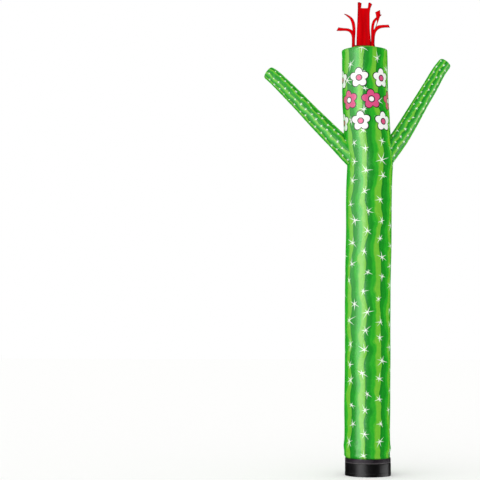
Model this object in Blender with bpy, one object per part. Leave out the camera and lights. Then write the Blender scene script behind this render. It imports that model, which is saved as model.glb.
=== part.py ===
"""Inflatable air dancer, standing blown up on its open base.

A long nylon tube is closed by a head cap and fed with air through an open base sleeve, which
slips over a blower's round outlet and is held by a hook-and-loop strap. Two tapering arm tubes
open into the body and end in open mouths. Hair ribbons stand in a narrow tape on the cap.

Millimetre tables are turned into metres where they are read. +Z is up and the front faces -Y.
"Left" and "right" are the sides seen by someone who looks at the front.
"""
import math

import bpy
import numpy as np

# ---------------------------------------------------------------- driving sizes
MM = 0.001
WALL = 0.002            # thickness of the tube, arm and cap cloth as solids
SEAM_GAP = 0.0003       # space left where one sewn piece meets the next

BODY_SIDES = 44         # facets round the body, the cap and the base sleeve
ARM_SIDES = 28          # facets round an arm
ROW_SPACING = 0.165     # longest step between two rings of the body

STRAP_BOTTOM = 0.0890
STRAP_TOP = 0.1160
STRAP_THICK = 0.0018
STRAP_SIDES = 108       # facets along the strap's whole turn and overlap
STRAP_HIDDEN_END = 21   # degrees round from the front to the end that is covered
STRAP_FREE_END = 46     # degrees round from the front to the end that shows
STRAP_RAMP = 17         # degrees over which the strap climbs onto its own end
STRAP_CLEAR = 3         # degrees between the climb and that end

CAP_RISE = 0.027        # how far the head cap bulges above its rim
CAP_RINGS = 5

RIBBON_THICK = 0.0015
HAIR_TAPE_DEPTH = 0.0094    # front to back
HAIR_TAPE_TOP = 2.9812
HAIR_TAPE_LEFT = -0.0955
HAIR_TAPE_RIGHT = 0.0655
HAIR_TAPE_STEPS = 10
HAIR_TAPE_LIFT = 0.0004     # clearance between the tape and the cap

# The base's axis lies here, so that the origin is below the middle of the whole outline.
BASE_X = 0.0618
BASE_Y = -0.0238

# ---------------------------------------------------------------- shape tables, in millimetres
# The body tube, base to head. Columns: height, sideways lean of the centre line, radius.
BODY_TABLE = [
    (102, 0, 151.8),        # sewn inside the base sleeve
    (119, 0, 151.8),
    (136, -5, 155.2),
    (154, -4.5, 156),
    (167, -3, 158.5),       # a puff of slack cloth above the strap, lower on its right side
    (178, -2.5, 160.4),
    (190, -3.5, 161.2),
    (202, -5, 160.6),
    (225, -4.5, 158.8),
    (260, -4, 157.2),
    (440, -2.5, 157.2),
    (650, 0.5, 157.4),
    (1060, 4, 157),
    (1340, 8, 158),
    (1680, 14.5, 158),
    (2020, 21, 158.2),
    (2085, 24, 158.2),
    (2145, 27.5, 158.5),    # the body kinks just below the shoulders
    (2195, 26, 159),
    (2245, 20, 160.2),
    (2300, 13.5, 161.2),
    (2350, 9, 161.8),
    (2420, 6, 161.6),
    (2480, 3.5, 161.3),
    (2565, -1.5, 161),
    (2650, -4, 160.1),
    (2790, -6, 159),
    (2876, -7, 158.9),
    (2912, -7.5, 158.5),
    (2929, -8, 158.3),
    (2938, -8, 157.2),      # a narrow round edge at the cap's seam
]

# The head cap is sewn to the body's top ring.
HEAD_LEAN = BODY_TABLE[-1][1] * MM
CAP_RADIUS = BODY_TABLE[-1][2] * MM
CAP_RIM = BODY_TABLE[-1][0] * MM + SEAM_GAP

# The base sleeve, drawn in where the strap grips the blower's 12 in (305 mm) outlet.
# Columns: height, radius.
SLEEVE_TABLE = [(0, 156.6), (40, 156.7), (76, 156.3), (89, 154.2), (116, 154.2), (119.6, 154.6)]

# The arms, from inside the body out to the open mouth. Columns: x, y, z of the centre line, radius.
ARM_TABLES = {
    "left_arm": [
        (-31, -28, 2130, 72), (-103, -12, 2207, 70.7), (-187, 8, 2298, 67.4), (-277, 31, 2392, 64),
        (-424, 69, 2551, 58.3), (-590, 116, 2730, 53), (-654, 135, 2794, 50.5), (-691, 145, 2824, 47.5),
    ],
    "right_arm": [
        (64, -26, 2090, 62.5), (137, 0, 2191, 63.6), (181, 16, 2253, 64.4), (227, 32, 2320, 64),
        (379, 93, 2576, 56), (455, 123, 2705, 52), (531, 154, 2835, 48), (561, 165, 2875, 45.8),
    ],
}
ARM_STEPS = 2           # rings for each table row

# Hair ribbons, root to tip. Columns: x, y, z of the middle, width, and the width line's angles in
# degrees, first its slope as seen from the front, then its turn out of that plane.
RIBBON_TABLES = {
    "left_low": [
        (-85, -3, 2970, 22, 0, 0), (-85, -3, 3017, 20, 0, 0), (-85, -5, 3043, 22, 11, 0),
        (-90, -8, 3062, 24, 18, 0), (-102, -12, 3078, 26, 23, 0), (-124, -16, 3087, 26, 40, 0),
        (-149, -20, 3089, 24, 55, 0), (-172, -22, 3090, 26, 61, 0), (-195, -25, 3092, 28, 62, 0),
    ],
    "left_high": [
        (-84, 0, 2970, 22, 0, 0), (-82, 0, 3033, 21, 0, 0), (-79, 2, 3081, 21, 0, 0),
        (-81, 5, 3113, 23, 0, 0), (-87, 9, 3146, 23, 13, 0), (-101, 14, 3175, 19, 24, 0),
        (-117, 18, 3190, 15, 36, 0), (-137, 23, 3204, 9, 60, 0), (-148, 27, 3209, 4, 80, 0),
    ],
    "right_low": [
        (52, 0, 2970, 23, 0, 0), (54, 0, 3020, 21, -6, 0), (58, 0, 3053, 21, -20, 0),
        (65, 0, 3076, 22, -24, 0), (76, -2, 3092, 24, -41, 0), (93, -5, 3104, 26, -56, 0),
        (120, -10, 3108, 23, -67, 0), (144, -14, 3108, 22, -66, 0), (166, -18, 3107, 24, -66, 0),
    ],
    "right_high": [
        (49, -3, 2970, 23, 0, 0), (49, -3, 3046, 21, 0, 0), (50, -2, 3104, 20, 0, 0),
        (56, 1, 3136, 20, -10, 0), (64, 5, 3153, 20, -22, 0), (76, 9, 3168, 17, -37, 0),
        (92, 13, 3182, 13, -48, 0), (112, 19, 3197, 7, -71, 0),
    ],
    "right_twist": [
        (55, 3, 2970, 16, 0, 0), (55, 3, 3037, 17, 0, 0), (60, 5, 3073, 15, -8, 4),
        (70, 8, 3100, 10, -10, 46), (78, 8, 3122, 13, 0, 72), (84, 4, 3140, 14, 0, 62),
        (87, -2, 3158, 18, 0, 24), (88, -7, 3175, 26, 0, 7), (89, -10, 3194, 32, 6, 2),
        (85, -12, 3216, 37, 26, 0),
    ],
}
RIBBON_STEPS = 2        # facets for each table row

# The broad middle ribbon, from its foot to where its two tails part.
# Columns: height, left edge, right edge.
PANEL_TABLE = [
    (2970, -64, 39), (3030, -62, 36), (3080, -60, 32), (3158, -56, 31), (3213, -54, 32), (3243, -53, 37),
]
# Its lengthwise strips. Columns: place across the ribbon, depth of the fold at the foot and on top.
PANEL_COLUMNS = [
    (0.0, 0.6, 2.5), (0.135, -1.2, -2.0), (0.27, -1.5, -4.5), (0.44, 0.8, 1.5), (0.62, 1.4, 4.0),
    (0.79, -0.8, -1.0), (0.895, -1.5, -4.5), (1.0, 1.0, 2.0),
]
# The ends of its tails, by column: x, height.
PANEL_TAILS = {0: (-53, 3285), 1: (-40, 3286), 2: (-25, 3276), 5: (23, 3280), 6: (32, 3281), 7: (49, 3269)}


# ---------------------------------------------------------------- helpers
def material(name, colour, roughness):
    """A plain cloth finish."""
    mat = bpy.data.materials.new(name)
    mat.use_nodes = True
    shader = mat.node_tree.nodes["Principled BSDF"]
    shader.inputs["Base Color"].default_value = (*colour, 1.0)
    shader.inputs["Roughness"].default_value = roughness
    return mat


def smooth_rows(table, at):
    """Values of the table's other columns at each place in its first column, joined smoothly."""
    table = np.array(table, dtype=float)
    knots, values = table[:, 0], table[:, 1:]
    slopes = np.gradient(values, knots, axis=0)
    at = np.asarray(at, dtype=float)
    low = np.clip(np.searchsorted(knots, at, side="right") - 1, 0, len(knots) - 2)
    span = (knots[low + 1] - knots[low])[:, None]
    t = (at - knots[low])[:, None] / span
    return ((1 + 2 * t) * (1 - t) ** 2 * values[low] + t * (1 - t) ** 2 * span * slopes[low]
            + t ** 2 * (3 - 2 * t) * values[low + 1] - t ** 2 * (1 - t) * span * slopes[low + 1])


def steps_between(places, longest):
    """The given places with more between them, so that no step is longer than asked."""
    out = [places[0]]
    for start, end in zip(places, places[1:]):
        count = math.ceil((end - start) / longest - 1e-9)
        out += [start + (end - start) * i / count for i in range(1, count + 1)]
    return np.array(out)


def add_mesh(name, points, faces, mat):
    """A mesh object with its faces turned outwards by their order."""
    mesh = bpy.data.meshes.new(name)
    mesh.from_pydata([tuple(point) for point in points], [], faces)
    mesh.materials.append(mat)
    mesh.shade_smooth()
    mesh.update()
    item = bpy.data.objects.new(name, mesh)
    item.parent = root
    bpy.context.scene.collection.objects.link(item)
    return item


def loft(name, rings, mat, closed=False):
    """A skin over rings of equal count. Closed joins the last to the first, else the ends are capped."""
    rings = np.array(rings)
    count, sides = rings.shape[:2]
    faces = []
    for i in range(count if closed else count - 1):
        here, there = i * sides, (i + 1) % count * sides
        for j in range(sides):
            k = (j + 1) % sides
            faces.append((here + j, here + k, there + k, there + j))
    if not closed:
        faces.append(tuple(reversed(range(sides))))
        faces.append(tuple((count - 1) * sides + j for j in range(sides)))
    return add_mesh(name, rings.reshape(-1, 3), faces, mat)


def sheet(name, points, cells, thick, mat):
    """A cloth sheet: a grid of places, the cells that are kept, and a rim round them."""
    points = np.array(points)
    along = np.gradient(points, axis=0)
    across = np.gradient(points, axis=1)
    normal = np.cross(across, along)
    normal /= np.linalg.norm(normal, axis=2, keepdims=True)
    both = np.stack([points - normal * thick / 2, points + normal * thick / 2])
    index, used, faces = {}, [], []

    def corner(side, i, j):
        """The number of a corner, given out on its first use."""
        key = (side, i, j)
        if key not in index:
            index[key] = len(used)
            used.append(both[side, i, j])
        return index[key]

    for i, j in cells:
        loop = [(i, j), (i, j + 1), (i + 1, j + 1), (i + 1, j)]
        faces.append([corner(1, *p) for p in loop])
        faces.append([corner(0, *p) for p in reversed(loop)])
        beside = [(i - 1, j), (i, j + 1), (i + 1, j), (i, j - 1)]
        for k, neighbour in enumerate(beside):
            if neighbour not in cells:
                p, q = loop[k], loop[(k + 1) % 4]
                faces.append([corner(0, *p), corner(0, *q), corner(1, *q), corner(1, *p)])
    return add_mesh(name, used, faces, mat)


def boolean(item, cutter, operation):
    """Cuts or joins one object with another, which then only serves as a tool."""
    step = item.modifiers.new(cutter.name, "BOOLEAN")
    step.operation = operation
    step.solver = "EXACT"
    step.object = cutter
    cutter.hide_render = True
    cutter.display_type = "WIRE"


# ---------------------------------------------------------------- rings
def circle(sides):
    """Angles round a ring, counted from the front towards the right."""
    return 2 * math.pi * np.arange(sides) / sides


def level_ring(x, z, radius):
    """A level ring round the body's centre line."""
    angle = circle(BODY_SIDES)
    return np.stack([x + radius * np.sin(angle), -radius * np.cos(angle),
                     np.full(BODY_SIDES, z)], axis=1)


def body_rings(grow):
    """The body's rings from base to head, its radius changed by the given amount."""
    heights = steps_between([row[0] * MM for row in BODY_TABLE], ROW_SPACING)
    shape = smooth_rows(np.array(BODY_TABLE) * MM, heights)
    return [level_ring(lean, z, radius + grow) for z, (lean, radius) in zip(heights, shape)]


def along_path(table, steps):
    """A table of places along a path, read off at even steps between its rows."""
    table = np.array(table) * 1.0
    reach = np.linalg.norm(np.diff(table[:, :3], axis=0), axis=1)
    knots = np.concatenate([[0.0], np.cumsum(reach)])
    at = np.interp(np.linspace(0, len(table) - 1, (len(table) - 1) * steps + 1),
                   np.arange(len(table)), knots)
    return smooth_rows(np.column_stack([knots, table]), at)


def arm_rings(table, grow):
    """An arm's rings from root to mouth, square to its centre line."""
    rows = along_path(table, ARM_STEPS) * MM
    centres, radii = rows[:, :3], rows[:, 3] + grow
    along = np.gradient(centres, axis=0)
    along /= np.linalg.norm(along, axis=1, keepdims=True)
    angle = circle(ARM_SIDES)[:, None]
    rings = []
    for centre, radius, axis in zip(centres, radii, along):
        up = np.array([0.0, 0.0, 1.0]) - axis * axis[2]
        up /= np.linalg.norm(up)
        side = np.cross(axis, up)
        rings.append(centre + radius * (np.cos(angle) * up + np.sin(angle) * side))
    return rings


def ribbon_edges(table):
    """The two edges of a hair ribbon, place by place."""
    rows = along_path(table, RIBBON_STEPS)
    slope, turn = np.radians(rows[:, 4]), np.radians(rows[:, 5])
    across = np.column_stack([np.cos(slope) * np.cos(turn), np.sin(turn), np.sin(slope) * np.cos(turn)])
    half = across * rows[:, 3:4] / 2
    return np.stack([rows[:, :3] - half, rows[:, :3] + half], axis=1) * MM


def cap_under(distance):
    """Height of the cap's underside at a distance from its centre: a shallow piece of a ball."""
    ball = (CAP_RADIUS ** 2 + CAP_RISE ** 2) / (2 * CAP_RISE)
    return CAP_RIM + CAP_RISE - ball + np.sqrt(ball ** 2 - np.minimum(distance, CAP_RADIUS) ** 2)


# ---------------------------------------------------------------- build
for old in list(bpy.data.objects):
    bpy.data.objects.remove(old, do_unlink=True)

root = bpy.data.objects.new("air_dancer", None)
root.location = (BASE_X, BASE_Y, 0.0)
bpy.context.scene.collection.objects.link(root)

green_nylon = material("printed_nylon", (0.03, 0.46, 0.02), 0.45)
red_nylon = material("hair_nylon", (0.62, 0.004, 0.006), 0.45)
black_cloth = material("sleeve_fabric", (0.012, 0.012, 0.012), 0.5)
strap_web = material("strap_webbing", (0.016, 0.013, 0.016), 0.7)

# Body tube: one wall, open at both ends until the cap and the sleeve are sewn on.
body_tube = loft("body_tube", body_rings(0.0) + body_rings(-WALL)[::-1], green_nylon, closed=True)
body_space = loft("body_space", body_rings(SEAM_GAP), green_nylon)

# Arms: tapering tubes whose roots follow the body's surface and open into it.
for name, table in ARM_TABLES.items():
    arm = loft(name, arm_rings(table, 0.0) + arm_rings(table, -WALL)[::-1], green_nylon, closed=True)
    boolean(arm, body_space, "DIFFERENCE")
    bore = loft(name + "_bore", arm_rings(table, -WALL), green_nylon)
    boolean(body_tube, bore, "DIFFERENCE")

# Head cap: a shallow dome of the same cloth, sewn into the top of the tube.
cap_radii = [CAP_RADIUS * (1 - i / CAP_RINGS) for i in range(CAP_RINGS)]
top_rings = [level_ring(HEAD_LEAN, cap_under(r) + WALL, r) for r in cap_radii]
under_rings = [level_ring(HEAD_LEAN, cap_under(r), r) for r in cap_radii[::-1]]
loft("head_cap", under_rings + top_rings, green_nylon)

# Base sleeve: a black ring that fits over the blower's outlet.
levels = np.array(SLEEVE_TABLE) * MM
loft("base_sleeve",
     [level_ring(0.0, z, r) for z, r in levels] + [level_ring(0.0, z, r - WALL) for z, r in levels[::-1]],
     black_cloth, closed=True)

# Strap: one turn round the top of the sleeve, lying over its own hidden end.
turn = np.linspace(STRAP_HIDDEN_END - 360.0, STRAP_FREE_END, STRAP_SIDES + 1)
climb = np.clip((turn - (STRAP_HIDDEN_END - STRAP_CLEAR - STRAP_RAMP)) / STRAP_RAMP, 0, 1)
climb = climb * climb * (3 - 2 * climb)
gripped = np.interp(STRAP_TOP / MM, *np.array(SLEEVE_TABLE).T) * MM
inside = gripped + SEAM_GAP + (STRAP_THICK + SEAM_GAP) * climb
angle = np.radians(turn)
strap_rings = []
for a, r in zip(angle, inside):
    section = [(r, STRAP_BOTTOM), (r, STRAP_TOP),
               (r + STRAP_THICK, STRAP_TOP), (r + STRAP_THICK, STRAP_BOTTOM)]
    strap_rings.append([(radius * math.sin(a), -radius * math.cos(a), z) for radius, z in section])
loft("strap", strap_rings, strap_web)

# Hair: ribbons of red nylon with their feet sewn into one narrow tape across the cap.
ribbons = []
for name, table in RIBBON_TABLES.items():
    edges = ribbon_edges(table)
    cells = [(i, 0) for i in range(len(edges) - 1)]
    ribbons.append(sheet("ribbon_" + name, edges, cells, RIBBON_THICK, red_nylon))

rows = len(PANEL_TABLE)
panel = np.zeros((rows + 1, len(PANEL_COLUMNS), 3))
for i, (z, left, right) in enumerate(PANEL_TABLE):
    for j, (across, foot_y, top_y) in enumerate(PANEL_COLUMNS):
        panel[i, j] = (left + (right - left) * across, foot_y + (top_y - foot_y) * i / (rows - 1), z)
panel[rows] = panel[rows - 1] + (0, 0, 1)
for j, (x, z) in PANEL_TAILS.items():
    panel[rows, j, [0, 2]] = x, z
cells = [(i, j) for i in range(rows - 1) for j in range(len(PANEL_COLUMNS) - 1)]
cells += [(rows - 1, j) for j in PANEL_TAILS if j + 1 in PANEL_TAILS]
ribbons.append(sheet("ribbon_panel", panel * MM, cells, RIBBON_THICK, red_nylon))

tape_rings = []
for i in range(HAIR_TAPE_STEPS + 1):
    x = HAIR_TAPE_LEFT + (HAIR_TAPE_RIGHT - HAIR_TAPE_LEFT) * i / HAIR_TAPE_STEPS
    ring = []
    for y, low in ((-0.5, True), (0.5, True), (0.5, False), (-0.5, False)):
        y *= HAIR_TAPE_DEPTH
        foot = cap_under(math.hypot(x - HEAD_LEAN, y)) + WALL + HAIR_TAPE_LIFT
        ring.append((x, y, foot if low else HAIR_TAPE_TOP))
    tape_rings.append(ring)
hair = loft("hair", tape_rings, red_nylon)
for ribbon in ribbons:
    boolean(hair, ribbon, "UNION")
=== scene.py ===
# %% [markdown]
# # An inflatable air dancer
# A blower pushes air up a long tube of thin printed nylon, and the tube stands up. Nothing inside holds it:
# every shape here is cloth under a little pressure. So this lesson is about cloth skins, their seams and
# hems, and about a printed pattern that shader nodes draw on the flat cloth, as if before it is sewn.

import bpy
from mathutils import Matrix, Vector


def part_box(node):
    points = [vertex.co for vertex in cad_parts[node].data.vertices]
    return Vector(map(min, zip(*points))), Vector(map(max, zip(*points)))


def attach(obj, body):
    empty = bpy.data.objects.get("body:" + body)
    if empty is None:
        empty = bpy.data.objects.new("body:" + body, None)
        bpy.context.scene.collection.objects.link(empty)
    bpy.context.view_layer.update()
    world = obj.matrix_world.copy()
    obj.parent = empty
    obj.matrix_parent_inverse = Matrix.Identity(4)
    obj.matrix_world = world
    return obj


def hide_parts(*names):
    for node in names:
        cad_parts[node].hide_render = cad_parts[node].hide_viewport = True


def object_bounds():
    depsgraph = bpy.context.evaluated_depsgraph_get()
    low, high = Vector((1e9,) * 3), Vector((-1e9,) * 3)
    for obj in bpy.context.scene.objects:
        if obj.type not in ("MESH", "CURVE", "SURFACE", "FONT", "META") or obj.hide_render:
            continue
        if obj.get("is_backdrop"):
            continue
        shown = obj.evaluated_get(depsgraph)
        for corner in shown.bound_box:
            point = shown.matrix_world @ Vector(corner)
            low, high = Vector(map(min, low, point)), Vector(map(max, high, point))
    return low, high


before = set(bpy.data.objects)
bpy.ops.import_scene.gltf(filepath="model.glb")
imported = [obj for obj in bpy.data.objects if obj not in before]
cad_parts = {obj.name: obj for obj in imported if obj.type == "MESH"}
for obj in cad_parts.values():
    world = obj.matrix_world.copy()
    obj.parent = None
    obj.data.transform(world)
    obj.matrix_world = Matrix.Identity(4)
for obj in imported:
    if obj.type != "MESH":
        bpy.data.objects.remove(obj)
cad_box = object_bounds()
print("solids:", ", ".join(sorted(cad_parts)))

# %% [markdown]
# ## The camera
# Tall things are best seen from far away through a long lens, so that their sides stay parallel. This
# camera stands 9.5 m off and 1 m above the floor, looks up a little, and has the figure on its right.

# %% Set up the camera
import math
from types import SimpleNamespace

import bpy
import numpy as np

MM = 0.001
sleeve_low, sleeve_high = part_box("base_sleeve")
BASE_X = (sleeve_low.x + sleeve_high.x) / 2
BASE_Y = (sleeve_low.y + sleeve_high.y) / 2
CAMERA_DISTANCE = 9.464
CAMERA_HEIGHT = 1.04
LENS = 102.14           # mm
SENSOR_WIDTH = 36       # mm
LOOKS_UP = 3.49         # degrees
LOOKS_LEFT = 5.32       # degrees

camera = bpy.data.objects.new("camera", bpy.data.cameras.new("camera"))
camera.data.lens = LENS
camera.data.sensor_width = SENSOR_WIDTH
camera.data.clip_end = 200
camera.location = (BASE_X, BASE_Y - CAMERA_DISTANCE, CAMERA_HEIGHT)
camera.rotation_euler = (math.radians(90 + LOOKS_UP), 0, math.radians(LOOKS_LEFT))
bpy.context.scene.collection.objects.link(camera)
bpy.context.scene.camera = camera
print("camera", CAMERA_DISTANCE, "m from the base's axis, lens", LENS, "mm")

# %% [markdown]
# ## A cloth sheet
# The nylon is a fraction of a millimetre thick. A single surface would have no edge to catch the light, and
# a Solidify modifier can't make a hem thicker than the rest. So each cloth is built as two skins with a rim
# between them, from one grid of places on its outer face. Every corner also remembers where it lay on the
# flat cloth, in metres. The print and the weave are drawn in those flat coordinates, so they follow each
# fold and never slide.

# %% Directions, lengths and new pieces
CLOTH = 0.6 * MM        # one layer of nylon, drawn thicker than its real 0.1 mm so that its edge shows


def unit(vectors):
    """Vectors made 1 long."""
    return vectors / np.maximum(np.linalg.norm(vectors, axis=-1, keepdims=True), 1e-12)


def square_to(ahead, vectors):
    """Vectors less what they have along a direction."""
    return vectors - ahead * (vectors * ahead).sum(axis=-1, keepdims=True)


def reaches(line):
    """How far along a line each of its points lies."""
    return np.concatenate([[0], np.cumsum(np.linalg.norm(np.diff(line, axis=0), axis=1))])


def outward(places, ring):
    """Normals of a grid of places, which point out where columns run right and rows run up."""
    if ring:
        across = np.roll(places, -1, axis=1) - np.roll(places, 1, axis=1)
    else:
        across = np.gradient(places, axis=1)
    return unit(np.cross(across, np.gradient(places, axis=0)))


def new_piece(name, points, faces, flat=None, smooth_below=50):
    """A piece of the figure, smooth but for edges that turn by more than some degrees. Flat holds the place
    of each face's corners on the flat cloth."""
    mesh = bpy.data.meshes.new(name)
    mesh.from_pydata(np.reshape(points, (-1, 3)).tolist(), [], faces)
    if flat is not None:
        stored = mesh.attributes.new("cloth", "FLOAT_VECTOR", "CORNER")
        stored.data.foreach_set("vector", np.array(flat, np.float32).ravel())
    mesh.validate()
    mesh.shade_smooth()
    mesh.set_sharp_from_angle(angle=math.radians(smooth_below))
    piece = bpy.data.objects.new(name, mesh)
    bpy.context.scene.collection.objects.link(piece)
    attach(piece, "root")
    return piece


print("nylon drawn", CLOTH / MM, "mm thick")


# %% Build a sheet from a grid
def cloth_sheet(name, places, flat, thick=CLOTH, ring=False, kept=None):
    """A cloth as two skins and a rim. A ring's last column is sewn to its first; kept marks its cells.
    Flat holds each place on the flat cloth and, for a ribbon, its distance from the cut edge."""
    rows, columns = places.shape[:2]
    wide = columns if ring else columns - 1
    thick = np.broadcast_to(np.asarray(thick, dtype=float).reshape(-1, 1, 1), (rows, 1, 1))
    under = places - outward(places, ring) * thick
    kept = np.ones((rows - 1, wide), bool) if kept is None else kept
    skin = rows * columns
    faces, corners_at = [], []
    for i, j in zip(*np.nonzero(kept)):
        loop = [(i, j), (i, j + 1), (i + 1, j + 1), (i + 1, j)]
        corners = [p * columns + q % columns for p, q in loop]
        faces.append(corners)
        faces.append([skin + corner for corner in reversed(corners)])
        corners_at += loop + loop[::-1]
        beside = [(i - 1, j), (i, j + 1), (i + 1, j), (i, j - 1)]
        for k, (p, q) in enumerate(beside):
            q = q % wide if ring else q
            if not (0 <= p < rows - 1 and 0 <= q < wide and kept[p, q]):
                n = (k + 1) % 4
                faces.append([skin + corners[k], skin + corners[n], corners[n], corners[k]])
                corners_at += [loop[k], loop[n], loop[n], loop[k]]
    corners_at = np.array(corners_at)
    flat_places = np.zeros((len(corners_at), 3))
    flat_places[:, :flat.shape[2]] = flat[corners_at[:, 0], corners_at[:, 1]]
    return new_piece(name, np.concatenate([places, under]), faces, flat_places)


def laid_flat(widths, heights):
    """A grid of places on the flat cloth."""
    return np.stack(np.meshgrid(widths, heights), axis=-1)


print("a grid with 3 columns and 2 rows:", laid_flat([0, 1, 2], [0, 1]).tolist())

# %% [markdown]
# ## Helpers for folds
# Gathered cloth makes folds that are alike but never equal. A sum of a few cosine waves with chance sizes
# and starts gives that, and whole wave counts make the folds meet again after one turn. Noise would do as
# well, but these waves keep a known fold width. The chance numbers have fixed seeds, so each run is the
# same.

# %% Waves and steps
def uneven(turn, fewest, most, seed):
    """Folds round a ring: waves of chance size, from the fewest to the most in one turn, about 1 high."""
    chance = np.random.default_rng(seed)
    total, power = 0.0, 0.0
    for count in range(fewest, most + 1):
        size = chance.uniform(0.3, 1.0)
        total = total + size * np.cos(count * turn + chance.uniform(0, 2 * math.pi))
        power += size ** 2 / 2
    return total / math.sqrt(power)


def rise(value, low, high):
    """0 below low, 1 above high, and a smooth step between them."""
    t = np.clip((value - low) / (high - low), 0, 1)
    return t * t * (3 - 2 * t)


def fading(distance, full, fade):
    """The strength of the folds beside a seam: none at the seam, full a little way off, and then fading."""
    return rise(distance, 0, full) * np.exp(-distance / fade)


quarter_turns = np.arange(4) * math.pi / 2
print("folds at each quarter turn:", np.round(uneven(quarter_turns, 2, 5, seed=3), 2))


# %% Rows and columns of a grid
def steps(*marks):
    """Places from the first mark to the last. A mark is a place and the spacing from there on."""
    out = []
    for (here, spacing), (there, _) in zip(marks, marks[1:]):
        count = max(1, round((there - here) / spacing))
        out += [here + (there - here) * i / count for i in range(count)]
    return np.array(out + [marks[-1][0]])


def turns(columns):
    """The turns of a ring's columns. The first and the last are the same place at the back."""
    return 2 * math.pi * (np.arange(columns + 1) / columns - 0.5)


def smooth_rows(knots, values, at):
    """Rows of values at their knots, read off smoothly at other places."""
    knots, values, at = (np.asarray(item, dtype=float) for item in (knots, values, at))
    slopes = np.gradient(values, knots, axis=0)
    low = np.clip(np.searchsorted(knots, at, side="right") - 1, 0, len(knots) - 2)
    span = (knots[low + 1] - knots[low])[..., None]
    t = (at - knots[low])[..., None] / span
    return ((1 + 2 * t) * (1 - t) ** 2 * values[low] + t * (1 - t) ** 2 * span * slopes[low]
            + t ** 2 * (3 - 2 * t) * values[low + 1] - t ** 2 * (1 - t) * span * slopes[low + 1])


print("rows that start close together:", np.round(steps((0, 0.1), (0.3, 0.35), (1, 0)), 2))

# %% [markdown]
# ## The body tube
# On the real figure this is one long tube that leans and kinks a little in the air stream. Its outline was
# settled in the solids, so its middle and radius are read off them, height by height. What is added is what
# air and thread do to cloth: folds where it is drawn in over the blower's sleeve, fine puckers along the
# seam of the head cap, folds that run out from the arms, and a broad unevenness that breaks the gloss.

# %% Read the rings of a round solid
FEWEST_IN_RING = 40     # a level with fewer points than this isn't a whole ring


def level_rings(node):
    """The heights of a round solid's level rings, and the place of the middle and the radius of each."""
    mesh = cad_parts[node].data
    points = np.zeros(len(mesh.vertices) * 3)
    mesh.vertices.foreach_get("co", points)
    points = points.reshape(-1, 3)
    levels = np.round(points[:, 2], 4)
    heights, shape = [], []
    for level in np.unique(levels):
        ring = points[levels == level]
        if len(ring) >= FEWEST_IN_RING:
            front, back = ring[ring[:, 1].argmin()], ring[ring[:, 1].argmax()]
            heights.append(level)
            shape.append((front[0], (back[1] - front[1]) / 2))
    return np.array(heights), np.array(shape)


def ring_at(rings, height):
    """The middle and the radius of a round solid at some heights."""
    return np.moveaxis(smooth_rows(*rings, height), -1, 0)


body_rings = level_rings("body_tube")
sleeve_rings = level_rings("base_sleeve")
sleeve_heights, sleeve_radii = sleeve_rings[0], sleeve_rings[1][:, 1]
BODY_FOOT, BODY_TOP = body_rings[0][[0, -1]]
SLEEVE_TOP = sleeve_heights[-1]
ROUND = 0.158           # the body's usual radius, by which turns become widths on the flat cloth
print(len(body_rings[0]), "body rings from", BODY_FOOT, "to", BODY_TOP, "m;",
      len(sleeve_heights), "sleeve rings up to", SLEEVE_TOP, "m")


# %% Places round the figure
def level_out(turn):
    """Level directions out of the figure. A turn is counted from the front towards the right."""
    return np.stack([np.sin(turn), -np.cos(turn), np.zeros_like(turn)], axis=-1)


def on_ring(turn, height, middle, radius):
    """Places round a middle line that stands over the base."""
    turn, height, middle, radius = np.broadcast_arrays(turn, height, middle, radius)
    line = np.stack([middle, np.full_like(middle, BASE_Y), height], axis=-1)
    return line + level_out(turn) * radius[..., None]


print("1 m up on the right side:", np.round(on_ring(math.pi / 2, 1.0, BASE_X, ROUND), 4))

# %% [markdown]
# The arms are tapering tubes of the same cloth. Their line and radius are a short table, the same as in the
# solids: x, y and z from the base's middle, and the radius, all in millimetres, from inside the body to the
# mouth. Where an arm leaves the body is found by walking along it until it is outside the body's radius.

# %% The arms' lines and radii
ARM_TABLES = {
    "left_arm": [
        (-31, -28, 2130, 72), (-103, -12, 2207, 70.7), (-187, 8, 2298, 67.4), (-277, 31, 2392, 64),
        (-424, 69, 2551, 58.3), (-590, 116, 2730, 53), (-654, 135, 2794, 50.5), (-691, 145, 2824, 47.5),
    ],
    "right_arm": [
        (64, -26, 2090, 62.5), (137, 0, 2191, 63.6), (181, 16, 2253, 64.4), (227, 32, 2320, 64),
        (379, 93, 2576, 56), (455, 123, 2705, 52), (531, 154, 2835, 48), (561, 165, 2875, 45.8),
    ],
}
print("arms:", ", ".join(ARM_TABLES))

# %% Lay out the arms
ARM_SAMPLES = 400       # steps along an arm's line
ARM_COLUMNS = 112
TUCK = 3 * MM           # how far an arm's edge is sewn under the body's surface


def ring_of(sides, away, beside):
    """Directions in rings round a line, from away towards beside at each of its points."""
    angle = 2 * math.pi * np.arange(sides)[:, None] / sides
    return np.cos(angle) * away[:, None] + np.sin(angle) * beside[:, None]


def beyond_body(places):
    """How far places are outside the body's surface. Negative is inside."""
    middle, radius = ring_at(body_rings, places[..., 2])
    return np.hypot(places[..., 0] - middle, places[..., 1] - BASE_Y) - radius


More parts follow.
